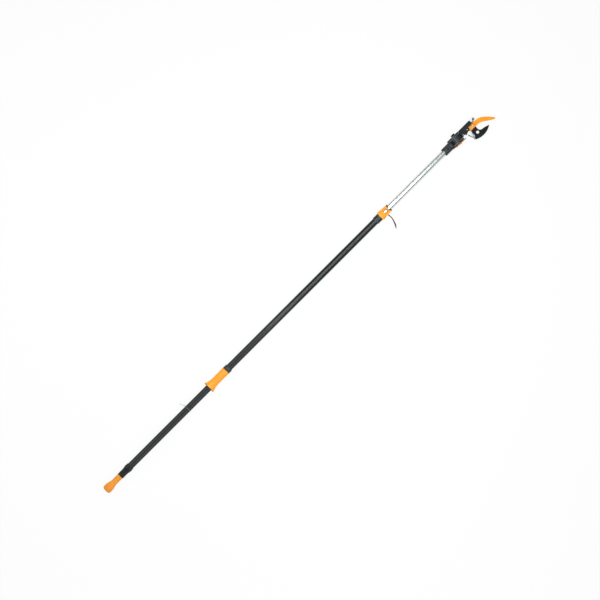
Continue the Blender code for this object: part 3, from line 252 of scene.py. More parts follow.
def lathe(name, profile, axis="x", at=AXIS, sides=SIDES, radius_at=None, sharp=35.0):
    """Turns a closed outline of (along, radius) points round an axis. radius_at may change a radius."""
    bm = bmesh.new()
    rings = []
    for along, radius in profile:
        count = 1 if radius < 1e-7 else sides
        ring = []
        for k in range(count):
            angle = math.tau * k / sides
            r = radius if radius_at is None or count == 1 else radius_at(along, radius, angle)
            u = r * math.cos(angle)
            v = r * math.sin(angle)
            place = {"x": (along, u, v), "y": (v, along, u), "z": (u, v, along)}[axis]
            ring.append(bm.verts.new(Vector(place) + at))
        rings.append(ring)
    for ring, after in zip(rings, rings[1:] + rings[:1]):
        for k in range(sides):
            corners = [ring[k % len(ring)], ring[(k + 1) % len(ring)], after[(k + 1) % len(after)],
                       after[k % len(after)]]
            corners = list(dict.fromkeys(corners))
            if len(corners) > 2:
                bm.faces.new(corners)
    return new_object(name, bm, sharp)


def turned(name, profile, edge, axis="z", at=AXIS, sides=SMALL_SIDES):
    """A small turned piece with rounded corners."""
    return lathe(name, fillet(profile, edge), axis, at, sides)


def rod(start, end, radius):
    return [(start, 0.0), (start, radius), (end, radius), (end, 0.0)]


def ring(start, end, inner, outer):
    return [(start, inner), (start, outer), (end, outer), (end, inner)]


def slab(name, outline, bottom, top, bevel, holes=(), plane="xy", at=AXIS, steps=3, low_cut=None,
         high_cut=None):
    """A plate with rounded edges. low_cut and high_cut are a ground width for each point of the outline,
    where the lower or upper face is drawn in further, as on a cutting edge."""
    if signed_area(outline) < 0:
        outline = outline[::-1]
    loops = [outline] + [hole if signed_area(hole) < 0 else hole[::-1] for hole in holes]
    levels = []
    for j in range(steps + 1):
        turn = math.radians(90 * j / steps)
        levels.append((bottom + bevel * (1 - math.cos(turn)), bevel * (1 - math.sin(turn)), low_cut))
    levels += [(top - (height - bottom), depth, high_cut) for height, depth, _ in reversed(levels)]
    bm = bmesh.new()
    caps = ([], [])
    for points in loops:
        rings = []
        for height, depth, cut in levels:
            widths = [depth] * len(points)
            if points is outline and cut:
                portion = depth / bevel
                widths = [max(depth, width * portion) for width in cut]
            rings.append([bm.verts.new(Vector((u, v, height) if plane == "xy" else (u, height, v)) + at)
                          for u, v in inset(points, widths)])
        for lower, upper in zip(rings, rings[1:]):
            for k in range(len(points)):
                after = (k + 1) % len(points)
                bm.faces.new((lower[k], lower[after], upper[after], upper[k]))
        caps[0].append(rings[0])
        caps[1].append(rings[-1])
    for cap in caps:
        if len(cap) == 1:
            bm.faces.new(cap[0])
            continue
        edges = []
        for points in cap:
            edges += [bm.edges.get((points[k], points[(k + 1) % len(points)])) for k in range(len(points))]
        bmesh.ops.triangle_fill(bm, edges=edges, use_beauty=True)
    return new_object(name, bm, 40.0, weighted=True)


def wire(name, path, radius, sides=12):
    """A round wire along a path of points, with domed ends."""
    normal = Vector((0.0, 0.0, 1.0))
    bm = bmesh.new()
    rings = []
    for i, point in enumerate(path):
        along = (path[min(i + 1, len(path) - 1)] - path[max(i - 1, 0)]).normalized()
        side = normal - along * normal.dot(along)
        if side.length < 1e-4:
            side = along.orthogonal()
        normal = side.normalized()
        other = along.cross(normal)
        rings.append([bm.verts.new(point + (normal * math.cos(a) + other * math.sin(a)) * radius)
                      for a in (math.tau * k / sides for k in range(sides))])
    for ring_a, ring_b in zip(rings, rings[1:]):
        for k in range(sides):
            bm.faces.new((ring_a[k], ring_a[(k + 1) % sides], ring_b[(k + 1) % sides], ring_b[k]))
    for end, inner, rim in ((path[0], path[1], rings[0]), (path[-1], path[-2], rings[-1])):
        tip = bm.verts.new(end + (end - inner).normalized() * radius * 0.8)
        for k in range(sides):
            bm.faces.new((rim[k], rim[(k + 1) % sides], tip))
    return new_object(name, bm, 60.0)


def settle(obj):
    """Puts the result of an object's modifiers into its mesh."""
    bpy.context.view_layer.update()
    graph = bpy.context.evaluated_depsgraph_get()
    mesh = bpy.data.meshes.new_from_object(obj.evaluated_get(graph), depsgraph=graph)
    obj.modifiers.clear()
    obj.data = mesh
    return obj


def combine(base, tool, operation):
    modifier = base.modifiers.new("combine", "BOOLEAN")
    modifier.operation = operation
    modifier.object = tool
    modifier.solver = "EXACT"
    settle(base)
    bpy.data.objects.remove(tool, do_unlink=True)
    return base


def joined(base, added, removed):
    for tool in added:
        combine(base, tool, "UNION")
    for tool in removed:
        combine(base, tool, "DIFFERENCE")


def machined(base, added=(), removed=(), sharp=30.0):
    """Joins and cuts shapes, and leaves the edges crisp."""
    joined(base, added, removed)
    base.data.set_sharp_from_angle(angle=math.radians(sharp))
    return base


def moulded(base, added, removed, voxel=0.0005, smooth=3, keep=0.45):
    """Joins and cuts shapes, and rounds the result as a moulded piece is."""
    joined(base, added, removed)
    remesh = base.modifiers.new("skin", "REMESH")
    remesh.mode = "VOXEL"
    remesh.voxel_size = voxel
    soften = base.modifiers.new("soften", "SMOOTH")
    soften.iterations = smooth
    soften.factor = 0.5
    thin = base.modifiers.new("thin", "DECIMATE")
    thin.ratio = keep
    settle(base)
    base.data.shade_smooth()
    return base


def tool_rod(start, end, radius, axis="z", at=AXIS, sides=SMALL_SIDES):
    return lathe("tool", rod(start, end, radius), axis, at, sides)


def tool_block(outline, bottom, top, plane="xy", at=AXIS):
    return slab("tool", outline, bottom, top, 1e-5, plane=plane, at=at, steps=1)


def hexagon(across):
    return circle((0.0, 0.0), across, 6)


def driven(screw, drive, bottom, top, plane="xy", at=AXIS):
    """Sinks a hexagonal drive into a screw's head."""
    return machined(screw, removed=(tool_block(hexagon(drive), bottom, top, plane, at),))


# ---- materials ----
def link(tree, source, target):
    tree.links.new(source, target)


def math_node(tree, operation, first, second):
    node = tree.nodes.new("ShaderNodeMath")
    node.operation = operation
    for socket, value in zip(node.inputs, (first, second)):
        if isinstance(value, float):
            socket.default_value = value
        else:
            link(tree, value, socket)
    return node.outputs[0]


def mapped(tree, scale):
    """Object coordinates times a scale, which is one number or one for each of x, y and z."""
    coordinates = tree.nodes.new("ShaderNodeTexCoord")
    mapping = tree.nodes.new("ShaderNodeMapping")
    mapping.inputs["Scale"].default_value = scale if isinstance(scale, tuple) else (scale, scale, scale)
    link(tree, coordinates.outputs["Object"], mapping.inputs["Vector"])
    return mapping.outputs["Vector"]


def noise(tree, scale, detail=3.0, rough=0.5):
    texture = tree.nodes.new("ShaderNodeTexNoise")
    texture.inputs["Scale"].default_value = 1.0
    texture.inputs["Detail"].default_value = detail
    texture.inputs["Roughness"].default_value = rough
    link(tree, mapped(tree, scale), texture.inputs["Vector"])
    return texture.outputs["Fac"]


def spread(tree, value, low_in, high_in, low_out, high_out):
    node = tree.nodes.new("ShaderNodeMapRange")
    node.inputs["From Min"].default_value = low_in
    node.inputs["From Max"].default_value = high_in
    node.inputs["To Min"].default_value = low_out
    node.inputs["To Max"].default_value = high_out
    link(tree, value, node.inputs["Value"])
    return node.outputs["Result"]


def mixed_color(tree, factor, first, second):
    node = tree.nodes.new("ShaderNodeMix")
    node.data_type = "RGBA"
    link(tree, factor, node.inputs["Factor"])
    for socket, value in ((node.inputs[6], first), (node.inputs[7], second)):
        if isinstance(value, tuple):
            socket.default_value = (*value, 1.0)
        else:
            link(tree, value, socket)
    return node.outputs[2]


def make_material(name, color, other, roughness, patch, grain, bump, metallic=0.0, specular=0.5, scratch=None,
                  scratch_color=None, tint=None):
    """Colour that drifts between two tones in patches, roughness that drifts with it, and a fine grain.
    patch, grain and scratch are noise scales per metre; bump is the grain's height in metres."""
    material = bpy.data.materials.new(name)
    material.use_nodes = True
    tree = material.node_tree
    shader = tree.nodes["Principled BSDF"]
    shader.inputs["Metallic"].default_value = metallic
    shader.inputs["Specular IOR Level"].default_value = specular
    if tint:
        shader.inputs["Specular Tint"].default_value = (*tint, 1.0)
    patches = noise(tree, patch, 4.0)
    tone = mixed_color(tree, spread(tree, patches, 0.35, 0.65, 0.0, 1.0), color, other)
    fine = noise(tree, grain, 2.0)
    if scratch:
        lines = spread(tree, noise(tree, scratch, 5.0, 0.7), 0.66, 0.72, 0.0, 1.0)
        tone = mixed_color(tree, lines, tone, scratch_color)
    link(tree, tone, shader.inputs["Base Color"])
    link(tree, spread(tree, patches, 0.3, 0.7, roughness[0], roughness[1]), shader.inputs["Roughness"])
    bump_node = tree.nodes.new("ShaderNodeBump")
    bump_node.inputs["Distance"].default_value = bump
    bump_node.inputs["Strength"].default_value = 1.0
    link(tree, fine, bump_node.inputs["Height"])
    link(tree, bump_node.outputs["Normal"], shader.inputs["Normal"])
    material.diffuse_color = (*color, 1.0)
    return material


def make_webbing(name):
    """Flat woven polyester: warp along the strap, weft across it."""
    material = bpy.data.materials.new(name)
    material.use_nodes = True
    tree = material.node_tree
    shader = tree.nodes["Principled BSDF"]
    shader.inputs["Roughness"].default_value = 0.75
    shader.inputs["Sheen Weight"].default_value = 0.3
    waves = []
    for direction in ("X", "Z"):
        wave = tree.nodes.new("ShaderNodeTexWave")
        wave.wave_type = "BANDS"
        wave.bands_direction = direction
        wave.inputs["Scale"].default_value = 420.0
        wave.inputs["Distortion"].default_value = 0.4
        link(tree, mapped(tree, 1.0), wave.inputs["Vector"])
        waves.append(wave.outputs["Fac"])
    weave = math_node(tree, "MULTIPLY", waves[0], waves[1])
    tone = mixed_color(tree, weave, (0.62, 0.61, 0.56), (0.86, 0.85, 0.80))
    dirt = spread(tree, noise(tree, 90.0), 0.4, 0.8, 0.0, 0.5)
    link(tree, mixed_color(tree, dirt, tone, (0.45, 0.43, 0.38)), shader.inputs["Base Color"])
    bump_node = tree.nodes.new("ShaderNodeBump")
    bump_node.inputs["Distance"].default_value = 0.00015
    link(tree, weave, bump_node.inputs["Height"])
    link(tree, bump_node.outputs["Normal"], shader.inputs["Normal"])
    return material


ORANGE = make_material("orange_plastic", (1.0, 0.375, 0.012), (0.96, 0.335, 0.008), (0.34, 0.46),
                       (28, 40, 40), 1400, 0.00004)
SOFT_ORANGE = make_material("soft_orange_plastic", (1.0, 0.365, 0.034), (0.95, 0.325, 0.026), (0.48, 0.60),
                            (30, 40, 40), 1700, 0.00006, specular=0.35)
ORANGE_STEEL = make_material("orange_coated_steel", (1.0, 0.375, 0.009), (0.97, 0.32, 0.006), (0.34, 0.46),
                             45, 900, 0.00003, specular=0.3)
BLACK = make_material("black_plastic", (0.0075, 0.0105, 0.0120), (0.0120, 0.0165, 0.0185), (0.38, 0.50), 60,
                      1500, 0.00006, specular=0.3)
TUBE_PAINT = make_material("black_tube_paint", (0.0035, 0.0065, 0.0068), (0.0052, 0.0090, 0.0094),
                           (0.18, 0.25), (7, 60, 60), (700, 900, 900), 0.000012, specular=0.42,
                           scratch=(9, 700, 700), scratch_color=(0.012, 0.017, 0.018))
SHEEN_BLACK = make_material("black_gloss_plastic", (0.0080, 0.0125, 0.0150), (0.0130, 0.0185, 0.0210),
                            (0.36, 0.45), 60, 1500, 0.00005, specular=0.6)
RUBBER = make_material("black_rubber", (0.010, 0.011, 0.013), (0.017, 0.018, 0.020), (0.62, 0.8), 90, 2200,
                       0.00008, specular=0.25)
ALUMINIUM = make_material("aluminium", (0.88, 0.91, 0.905), (0.81, 0.85, 0.845), (0.20, 0.30), (3, 90, 90),
                          (25, 5200, 5200), 0.000010, metallic=1.0, scratch=(12, 900, 900),
                          scratch_color=(0.70, 0.75, 0.745), tint=(0.22, 0.30, 0.29))
STEEL = make_material("steel", (0.72, 0.735, 0.745), (0.60, 0.615, 0.63), (0.24, 0.38), 160, 1800, 0.00002,
                      metallic=1.0, tint=(0.4, 0.42, 0.43))
DULL_STEEL = make_material("dull_steel", (0.33, 0.345, 0.35), (0.24, 0.25, 0.26), (0.35, 0.5), 160, 1800,
                           0.00002, metallic=1.0, tint=(0.3, 0.3, 0.3))
GROUND_STEEL = make_material("ground_steel", (0.62, 0.63, 0.64), (0.50, 0.51, 0.52), (0.26, 0.36), 120,
                             (5200, 300, 900), 0.00002, metallic=1.0, tint=(0.4, 0.4, 0.4))
COATED = make_material("black_coated_steel", (0.0070, 0.0100, 0.0108), (0.0115, 0.0160, 0.0168), (0.32, 0.44),
                       70, 1300, 0.00003, specular=0.16, scratch=(60, 700, 700),
                       scratch_color=(0.024, 0.030, 0.032))
WEBBING = make_webbing("pale_webbing")
SLOT_MATERIALS = dict(
    orange_plastic=ORANGE, black_plastic=BLACK, black_tube_paint=TUBE_PAINT, black_rubber=RUBBER,
    aluminium=ALUMINIUM, steel=STEEL, black_coated_steel=COATED, orange_coated_steel=ORANGE_STEEL,
    pale_webbing=WEBBING)
SLOT_OF = {part["node"]: part["material_slot"] for part in frame["record"]["subparts"]}
BODIES = frame["record"]["behaviour"]["bodies"]
BODY_OF = {node: body for body, nodes in BODIES.items() for node in nodes}


def paint(obj, material):
    obj.data.materials.clear()
    obj.data.materials.append(material)


def stand_for(piece, node, material=None, rides=True):
    """Gives a finished piece its material, hides the CAD node that it stands for, and hangs the piece on its body
    unless rides is false, as for a piece that spans two bodies.
    """
    if not piece.data.materials:
        paint(piece, material or SLOT_MATERIALS[SLOT_OF[node]])
    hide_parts(node)
    if rides:
        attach(piece, BODY_OF[node])


for cad_name, cad_node in frame["nodes"].items():
    paint(cad_node, SLOT_MATERIALS[SLOT_OF[cad_name]])


# ---- tubes ----
GROOVE_HALF_ANGLE = math.radians(4.6)
GROOVE_DEPTH = 0.0006
OUTER_WALL = 0.0014
INNER_WALL = 0.0012


def grooved(along, radius, angle):
    """Draws the outer face in along the top, where the tube has its groove."""
    away = abs(math.remainder(angle - math.pi / 2, math.tau))
    if radius < OUTER_R - OUTER_WALL / 2 or away > GROOVE_HALF_ANGLE:
        return radius
    return radius - GROOVE_DEPTH * ease(1 - away / GROOVE_HALF_ANGLE)


tube_low, tube_high = span("outer_tube", "x")
SLOT_PLAY = 0.0015
pin_x = centre("drive_pin").x
slot_half = half_size("drive_pin").x + 0.0005
travel = next(joint for joint in frame["joints"] if joint["name"] == "pull")["range_m"][1]
slot_low = pin_x - travel - SLOT_PLAY
slot_high = pin_x + SLOT_PLAY
slot_outline = arc((slot_high, 0.0), slot_half, -90, 90, 10) + arc((slot_low, 0.0), slot_half, 90, 270, 10)
outer_ring = fillet(ring(tube_low, tube_high, OUTER_R - OUTER_WALL, OUTER_R), 0.0004)
outer_tube = lathe("tube_black", outer_ring, sides=360, radius_at=grooved)
slot = tool_block(slot_outline, -OUTER_R - 0.01, -OUTER_R / 2)
stand_for(machined(outer_tube, removed=(slot,), sharp=35), "outer_tube")

inner_low, inner_high = span("inner_tube", "x")
inner_ring = fillet(ring(inner_low, inner_high, INNER_R - INNER_WALL, INNER_R), 0.0003)
stand_for(lathe("tube_silver", inner_ring, sides=128), "inner_tube")


# ---- end knob and collar ----
KNOB_BULB_R = half_size("end_knob").y
KNOB_NECK_R = 0.0134
CAP_R = half_size("knob_cap").y
knob_x, cap_high = span("knob_cap", "x")
knob_end = high("end_knob").x
cap_seat = cap_high + GAP
cap_hole = CAP_R + GAP
rod_hole = half_size("pull_rod").y + GAP
rod_seat = cap_seat + 0.0386
SCREW_HOLE = 0.0023
SCREW_HEAD_HOLE = 0.0043
screw_seat = cap_seat + 0.0046
rim = [(cap_seat, SCREW_HEAD_HOLE), (cap_seat, cap_hole),
       *placed(knob_x, ((0.0006, cap_hole), (0.0006, 0.0150), (0.0022, 0.0172)))]
bulb = placed(knob_x, ((0.0060, 0.0185), (0.0115, 0.0193), (0.0180, KNOB_BULB_R), (0.0250, 0.0191),
                       (0.0330, 0.0171), (0.0420, 0.0147), (0.0520, KNOB_NECK_R), (0.0700, KNOB_NECK_R)))
bulb = smooth_line([*bulb, (knob_end - 0.0040, KNOB_NECK_R + 0.0002)], 6)
foot = [(knob_end, KNOB_NECK_R + 0.0004), (knob_end, rod_hole), (rod_seat, rod_hole), (rod_seat, SCREW_HOLE),
        (screw_seat, SCREW_HOLE), (screw_seat, SCREW_HEAD_HOLE)]


def knob_ribs(along, radius, angle):
    """Shallow lengthwise flutes in the knob's waist, for grip."""
    place = (along - knob_x - 0.0480) / 0.0320
    if radius < 0.0125 or not 0 < place < 1:
        return radius
    depth = 0.00035 * math.sin(math.pi * place) ** 0.5
    return radius - depth * (0.5 + 0.5 * math.cos(24 * angle)) ** 2


knob = lathe("knob_ball", resample(fillet(rim, 0.0008) + bulb, 0.0012) + foot, sides=192, radius_at=knob_ribs)
stand_for(knob, "end_knob", SOFT_ORANGE)

cap_profile = [(knob_x, 0.0)]
for r in (0.0030, 0.0055, 0.0080):
    cap_profile += placed(knob_x, ((0.0, r), (0.0006, r + 0.0003), (0.0006, r + 0.0009), (0.0, r + 0.0012)))
cap_profile += [(knob_x, CAP_R - 0.0006), (knob_x + 0.0005, CAP_R), (cap_high, CAP_R), (cap_high, 0.0)]
stand_for(lathe("knob_insert", cap_profile), "knob_cap")

collar_low, collar_high = span("end_collar", "x")
RIDGE_R = half_size("end_collar").y
COLLAR_BORE_R = 0.0055
ridge_x = collar_low + 0.0490
collar_seat = collar_low + 0.0297
collar = [(collar_low, COLLAR_BORE_R), (collar_low, 0.0140), (collar_low + 0.0009, OUTER_R)]
collar += grooves(collar_low + 0.0050, 0.0030, 7, OUTER_R, width=0.0012, depth=0.0004, slope=0.0003)
collar += eased(collar_low + 0.0275, ridge_x, OUTER_R, RIDGE_R)
collar += placed(ridge_x, ((0.0012, RIDGE_R), (0.0030, RIDGE_R - 0.0002), (0.0034, RIDGE_R - 0.0008),
                           (0.0046, RIDGE_R - 0.0009)))
collar += [(collar_high - 0.0008, OUTER_R + 0.0014), (collar_high, OUTER_R + 0.0009),
           (collar_high, OUTER_R + GAP), (collar_seat, OUTER_R + GAP), (collar_seat, COLLAR_BORE_R)]
stand_for(lathe("collar_ridged", collar, sides=128), "end_collar")


# ---- slider ----
grip_low, grip_high = span("slider_grip", "x")
FLARE_R = half_size("slider_grip").y
GRIP_R = 0.0182
CORE_R = 0.0168
RIB_PITCH = 0.0024
RIB_HEIGHT = 0.00035
grip = [(grip_low, CORE_R + GAP), (grip_low, FLARE_R - 0.0006), (grip_low + 0.0008, FLARE_R)]
flare = placed(grip_low, ((0.0022, FLARE_R), (0.0065, FLARE_R - 0.0013), (0.0140, FLARE_R - 0.0036),
                          (0.0240, GRIP_R + 0.0012), (0.0360, GRIP_R)))
flare = smooth_line([*flare, (grip_high - 0.0060, GRIP_R), (grip_high - 0.0015, GRIP_R)], 12)
for x, r in resample(flare, 0.0004):
    place = share((x - grip_low - 0.0120) / 0.0060) * share((grip_high - 0.0060 - x) / 0.0040)
    ripple = 0.5 - 0.5 * math.cos(math.tau * (x - grip_low) / RIB_PITCH)
    grip.append((x, r - RIB_HEIGHT * place * ripple))
grip += [(grip_high - 0.0004, GRIP_R - 0.0003), (grip_high, GRIP_R - 0.0009), (grip_high, CORE_R + GAP)]
stand_for(lathe("grip_flared", grip, sides=112, sharp=60), "slider_grip")

bore = OUTER_R + 0.0005
flange = ring(*span("slider_flange", "x"), bore, half_size("slider_flange").y)
stand_for(lathe("grip_rim", fillet(flange, 0.0007), sides=128), "slider_flange")

core_high = high("slider_core").x
RING_R = half_size("slider_core").y
ring_low = grip_high + GAP
core = [(grip_low, bore), (grip_low, CORE_R), (ring_low, CORE_R), (ring_low, RING_R - 0.0006),
        (ring_low + 0.0006, RING_R), *grooves(ring_low + 0.0050, 0.0, 1, RING_R, 0.0014, 0.0005, 0.0003),
        (ring_low + 0.0132, RING_R), (ring_low + 0.0142, RING_R - 0.0003),
        (core_high - 0.0006, bore + 0.0012), (core_high, bore + 0.0006), (core_high, bore)]
stand_for(lathe("grip_ring", core, sides=128), "slider_core", SHEEN_BLACK)


# ---- wire stop ----
WIRE_R = 0.0007
TAIL = ((0.0, 0.0), (-0.0045, 0.0075), (-0.0105, 0.0178), (-0.0112, 0.0210), (-0.0090, 0.0232))
clip_x = high("stop_clip").x - WIRE_R
loop_r = OUTER_R + GAP + WIRE_R
turns = [(clip_x + 0.0016 * (i / 64 - 1), math.tau * i / 64) for i in range(65)]
path = [AXIS + Vector((x, loop_r * math.cos(a), loop_r * math.sin(a))) for x, a in turns]
path += [AXIS + Vector((clip_x + x, loop_r + y, 0.0)) for x, y in smooth_line(TAIL, 6)[2:]]
stand_for(wire("wire_stop", path, WIRE_R), "stop_clip", DULL_STEEL)


# ---- clamp ----
SLEEVE_R = half_size("clamp_collar").y
sleeve_low, sleeve_high = span("clamp_collar", "x")
clamp_low, clamp_high = span("clamp_body", "x")
lips_high = high("clamp_liner").x
GUIDE_R = INNER_R + 0.0005
NECK_R = 0.0162
sleeve = [(sleeve_low, OUTER_R + GAP), (sleeve_low, OUTER_R + 0.0010),
          (sleeve_low + 0.0034, SLEEVE_R - 0.0002), (sleeve_low + 0.0042, SLEEVE_R)]
sleeve += grooves(sleeve_low + 0.0085, 0.0050, 3, SLEEVE_R, width=0.0018, depth=0.0005, slope=0.0004)
sleeve += [(clamp_low - GAP, SLEEVE_R), (clamp_low - GAP, NECK_R), (sleeve_high, NECK_R),
           (sleeve_high, GUIDE_R), (tube_high + GAP, GUIDE_R), (tube_high + GAP, OUTER_R + GAP)]
stand_for(lathe("clamp_sleeve", sleeve, sides=112), "clamp_collar", SHEEN_BLACK)

BORE_R = NECK_R + GAP
LINER_R = GUIDE_R + 0.0018
SEAT_R = LINER_R + GAP
CLAMP_R = BORE_R + 0.0045
SHOULDER_R = BORE_R + 0.0027
TIP_R = SEAT_R + 0.0020
NOTCH_DEPTH = 0.0092
NOTCH_RIM = 0.0030
LIP_R = LINER_R + 0.0013
LEVER_BACK = 0.0115
LEVER_BORE_R = 0.0018
lever_axis = upright("lever_pin")
lever_half = half_size("clamp_lever").z
CAM_R = 0.0032
screw = centre("clamp_screw")
screw_place = Vector((screw.x, AXIS.y, screw.z))
PINCH_BORE_R = 0.0019
EAR_R = 0.0036
EAR_HALF = 0.0065
WINDOW_HALF = 0.00675
PINCH_HALF = 0.0020
window_x = clamp_low + 0.0255
pinch_x = clamp_low + 0.0445


def notch(rim):
    """The pointed notch in the lips' upper end, or in the clamp's, which ends a rim's width lower."""
    reach = 1.2
    end = lips_high - rim + NOTCH_DEPTH * (reach - 1)
    return [(lips_high - rim - NOTCH_DEPTH, 0.0), (end, -LIP_R * reach), (end, LIP_R * reach)]


outside = placed(clamp_low, (
    (0.0004, SHOULDER_R), (0.0040, CLAMP_R - 0.0006), (0.0085, CLAMP_R), (0.0130, CLAMP_R - 0.0006),
    (0.0190, SHOULDER_R + 0.0004), (0.0340, TIP_R + 0.0006)))
clamp = lathe("clamp_shell", [
    (clamp_low, BORE_R), (clamp_low, SHOULDER_R - 0.0006), *smooth_line([*outside, (clamp_high, TIP_R)], 6),
    (clamp_high, SEAT_R), (sleeve_high + GAP, SEAT_R), (sleeve_high + GAP, BORE_R)], sides=128)
boss_low = lever_axis.y - AXIS.y - 0.0028
boss = slab("tool", block(-0.0050, 0.0050, boss_low, boss_low + 0.0070), -0.0112, 0.0112, 0.0008,
            at=Vector((lever_axis.x, AXIS.y, AXIS.z)))
ears = turned("tool", rod(-EAR_HALF, EAR_HALF, EAR_R), 0.0005, "y", screw_place)
side = [(window_x, WINDOW_HALF), (pinch_x - 0.0060, WINDOW_HALF), (pinch_x - 0.0030, PINCH_HALF),
        (clamp_high + 0.01, PINCH_HALF)]
openings = [tool_block(mirrored(side), 0.0, REACH),
            tool_block(notch(NOTCH_RIM), 0.0, REACH),
            tool_rod(sleeve_high + GAP, clamp_high + 0.01, SEAT_R, "x", sides=SIDES),
            tool_rod(clamp_low - 0.01, sleeve_high + GAP, BORE_R, "x", sides=SIDES),
            tool_block(block(-LEVER_BACK, CAM_R + 4 * GAP, -0.02, CAM_R + GAP), -lever_half - GAP,
                       lever_half + GAP, at=lever_axis),
            tool_rod(-REACH, REACH, LEVER_BORE_R, "z", lever_axis),
            tool_rod(-REACH, REACH, PINCH_BORE_R, "y", screw_place)]
for k in range(5):
    rib_x = clamp_low + 0.0045 + k * 0.0034
    groove = lathe("tool", ring(rib_x, rib_x + 0.0012, CLAMP_R - 0.0012, CLAMP_R + 0.0020), sides=SIDES)
    combine(groove, tool_block(block(rib_x - 0.01, rib_x + 0.01, 0.0, REACH), -0.0085, 0.0085), "INTERSECT")
    openings.append(groove)
stand_for(moulded(clamp, (boss, ears), openings, voxel=0.00042, smooth=4, keep=0.32), "clamp_body")

liner = lathe("clamp_lining", [
    (sleeve_high + GAP, GUIDE_R), (sleeve_high + GAP, LINER_R), (clamp_high + GAP, LINER_R),
    (clamp_high + 2 * GAP, LIP_R), (lips_high - 0.0010, LIP_R), (lips_high, LIP_R - 0.0012),
    (lips_high, GUIDE_R)], sides=112)
SLIT_HALF = 0.0015
slit_side = [(window_x + 0.0004, WINDOW_HALF - 0.0030), (pinch_x - 0.0080, WINDOW_HALF - 0.0030),
             (pinch_x - 0.0040, SLIT_HALF), (lips_high + 0.01, SLIT_HALF)]
slits = (tool_block(mirrored(slit_side), 0.0, REACH), tool_block(notch(0.0), 0.0, REACH))
stand_for(machined(liner, removed=slits), "clamp_liner")

SCREW_HEAD_R = 0.0030
SCREW_R = 0.0016
seat = EAR_HALF + GAP
nut_end = seat + 0.0018
screw_profile = [(-seat - 0.0016, 0.0), (-seat - 0.0016, SCREW_HEAD_R), (-seat, SCREW_HEAD_R),
                 (-seat, SCREW_R), (nut_end, SCREW_R), (nut_end, 0.0)]
pinch_screw = turned("pinch_screw", screw_profile, 0.0004, "y", screw_place)
stand_for(driven(pinch_screw, 0.0016, -seat - 0.003, -seat - 0.0005, "xz", screw_place), "clamp_screw")
pinch_nut = slab("pinch_nut", hexagon(SCREW_HEAD_R), seat, nut_end, 0.0003,
                 [circle((0, 0), PINCH_BORE_R)], "xz", screw_place)
stand_for(pinch_nut, "clamp_nut")

LEVER_LINE = ((0.0, 0.0), (0.0010, -0.0100), (0.0013, -0.0200), (-0.0007, -0.0300), (-0.0045, -0.0420),
              (-0.0100, -0.0550), (-0.0182, -0.0668))
LEVER_HALF_THICKNESS = (0.0026, 0.0020, 0.0020, 0.0022, 0.0026, 0.0028, 0.0007)
left, right = band_sides(LEVER_LINE, LEVER_HALF_THICKNESS)
handle = slab("clamp_handle", left + right[::-1], -lever_half, lever_half, 0.0006, at=lever_axis)
cam = turned("tool", rod(-lever_half, lever_half, CAM_R), 0.0004, at=lever_axis)
lever_bore = tool_rod(-REACH, REACH, LEVER_BORE_R, "z", lever_axis)
stand_for(moulded(handle, (cam,), (lever_bore,), voxel=0.00032, keep=0.5), "clamp_lever")
pin_half = half_size("lever_pin").z
stand_for(turned("lever_axle", rod(-pin_half, pin_half, 0.0015), 0.0004, at=lever_axis), "lever_pin")


# ---- socket and knuckle ----
SOCKET_R = 0.0175
SOCKET_LENGTH = 0.0465
socket_low = low("head_socket").x
socket_high = socket_low + SOCKET_LENGTH
DRUM_R = half_size("head_socket").z
DRUM_LOW, DRUM_HIGH = span("head_socket", "y")
DRUM_SIDES = 160
DRUM_BORE_R = 0.0043
CHEEK = 0.0082
WEB_HALF = 0.0125
GROOVE_HALF = 0.0005
web_high = DRUM.x - DRUM_R - 0.0005
screw_axis = Vector((centre("socket_screw").x, AXIS.y, AXIS.z))
pad_x = screw_axis.x
socket = lathe("socket_fork", [
    (socket_low, 0.0), (socket_low, SOCKET_R - 0.0008), (socket_low + 0.0008, SOCKET_R),
    (socket_low + SOCKET_LENGTH * 0.72, SOCKET_R), (socket_high, SOCKET_R + 0.0010),
    (socket_high + 0.0030, SOCKET_R), (socket_high + 0.0030, 0.0)], sides=128)
web = block(socket_high - 0.0040, web_high, DRUM_LOW, DRUM_HIGH)
solid = [slab("tool", web, -WEB_HALF, WEB_HALF, 0.0012)]
for cheek_low, cheek_high in ((DRUM_LOW, DRUM_LOW + CHEEK), (DRUM_HIGH - CHEEK, DRUM_HIGH)):
    arm = block(web_high - 0.0070, DRUM.x, cheek_low, cheek_high)
    solid.append(slab("tool", arm, -WEB_HALF, WEB_HALF, 0.0008))
    solid.append(turned("tool", rod(cheek_low, cheek_high, DRUM_R), 0.0012, "y", DRUM, DRUM_SIDES))
pad = block(pad_x - 0.0120, pad_x + 0.0120, -0.0085, 0.0085)
solid.append(slab("tool", pad, INNER_R, SOCKET_R + 0.0015, 0.0008))
mouth = [(socket_low + 0.0070, 0.0), (socket_low - 0.0080, -SOCKET_R), (socket_low - 0.0080, SOCKET_R)]
passage = block(inner_high - 0.0040, web_high + 0.0030, -0.0030, 0.0030)
holes = [tool_rod(socket_low - 0.01, inner_high + GAP, INNER_R + GAP, "x", sides=SIDES),
         tool_block(mouth, -REACH, REACH),
         tool_block(passage, -0.0050, 0.0050),
         tool_rod(-0.04, 0.04, DRUM_BORE_R, "y", DRUM),
         tool_rod(0.0, REACH, 0.0021, "z", screw_axis)]
for groove_y in (DRUM_LOW + 0.0041, DRUM_HIGH - 0.0041):
    groove = ring(groove_y - GROOVE_HALF, groove_y + GROOVE_HALF, DRUM_R - 0.0006, DRUM_R + 0.004)
    holes.append(lathe("tool", groove, "y", DRUM, DRUM_SIDES))
stand_for(moulded(socket, solid, holes, smooth=7, keep=0.35), "head_socket", SHEEN_BLACK)

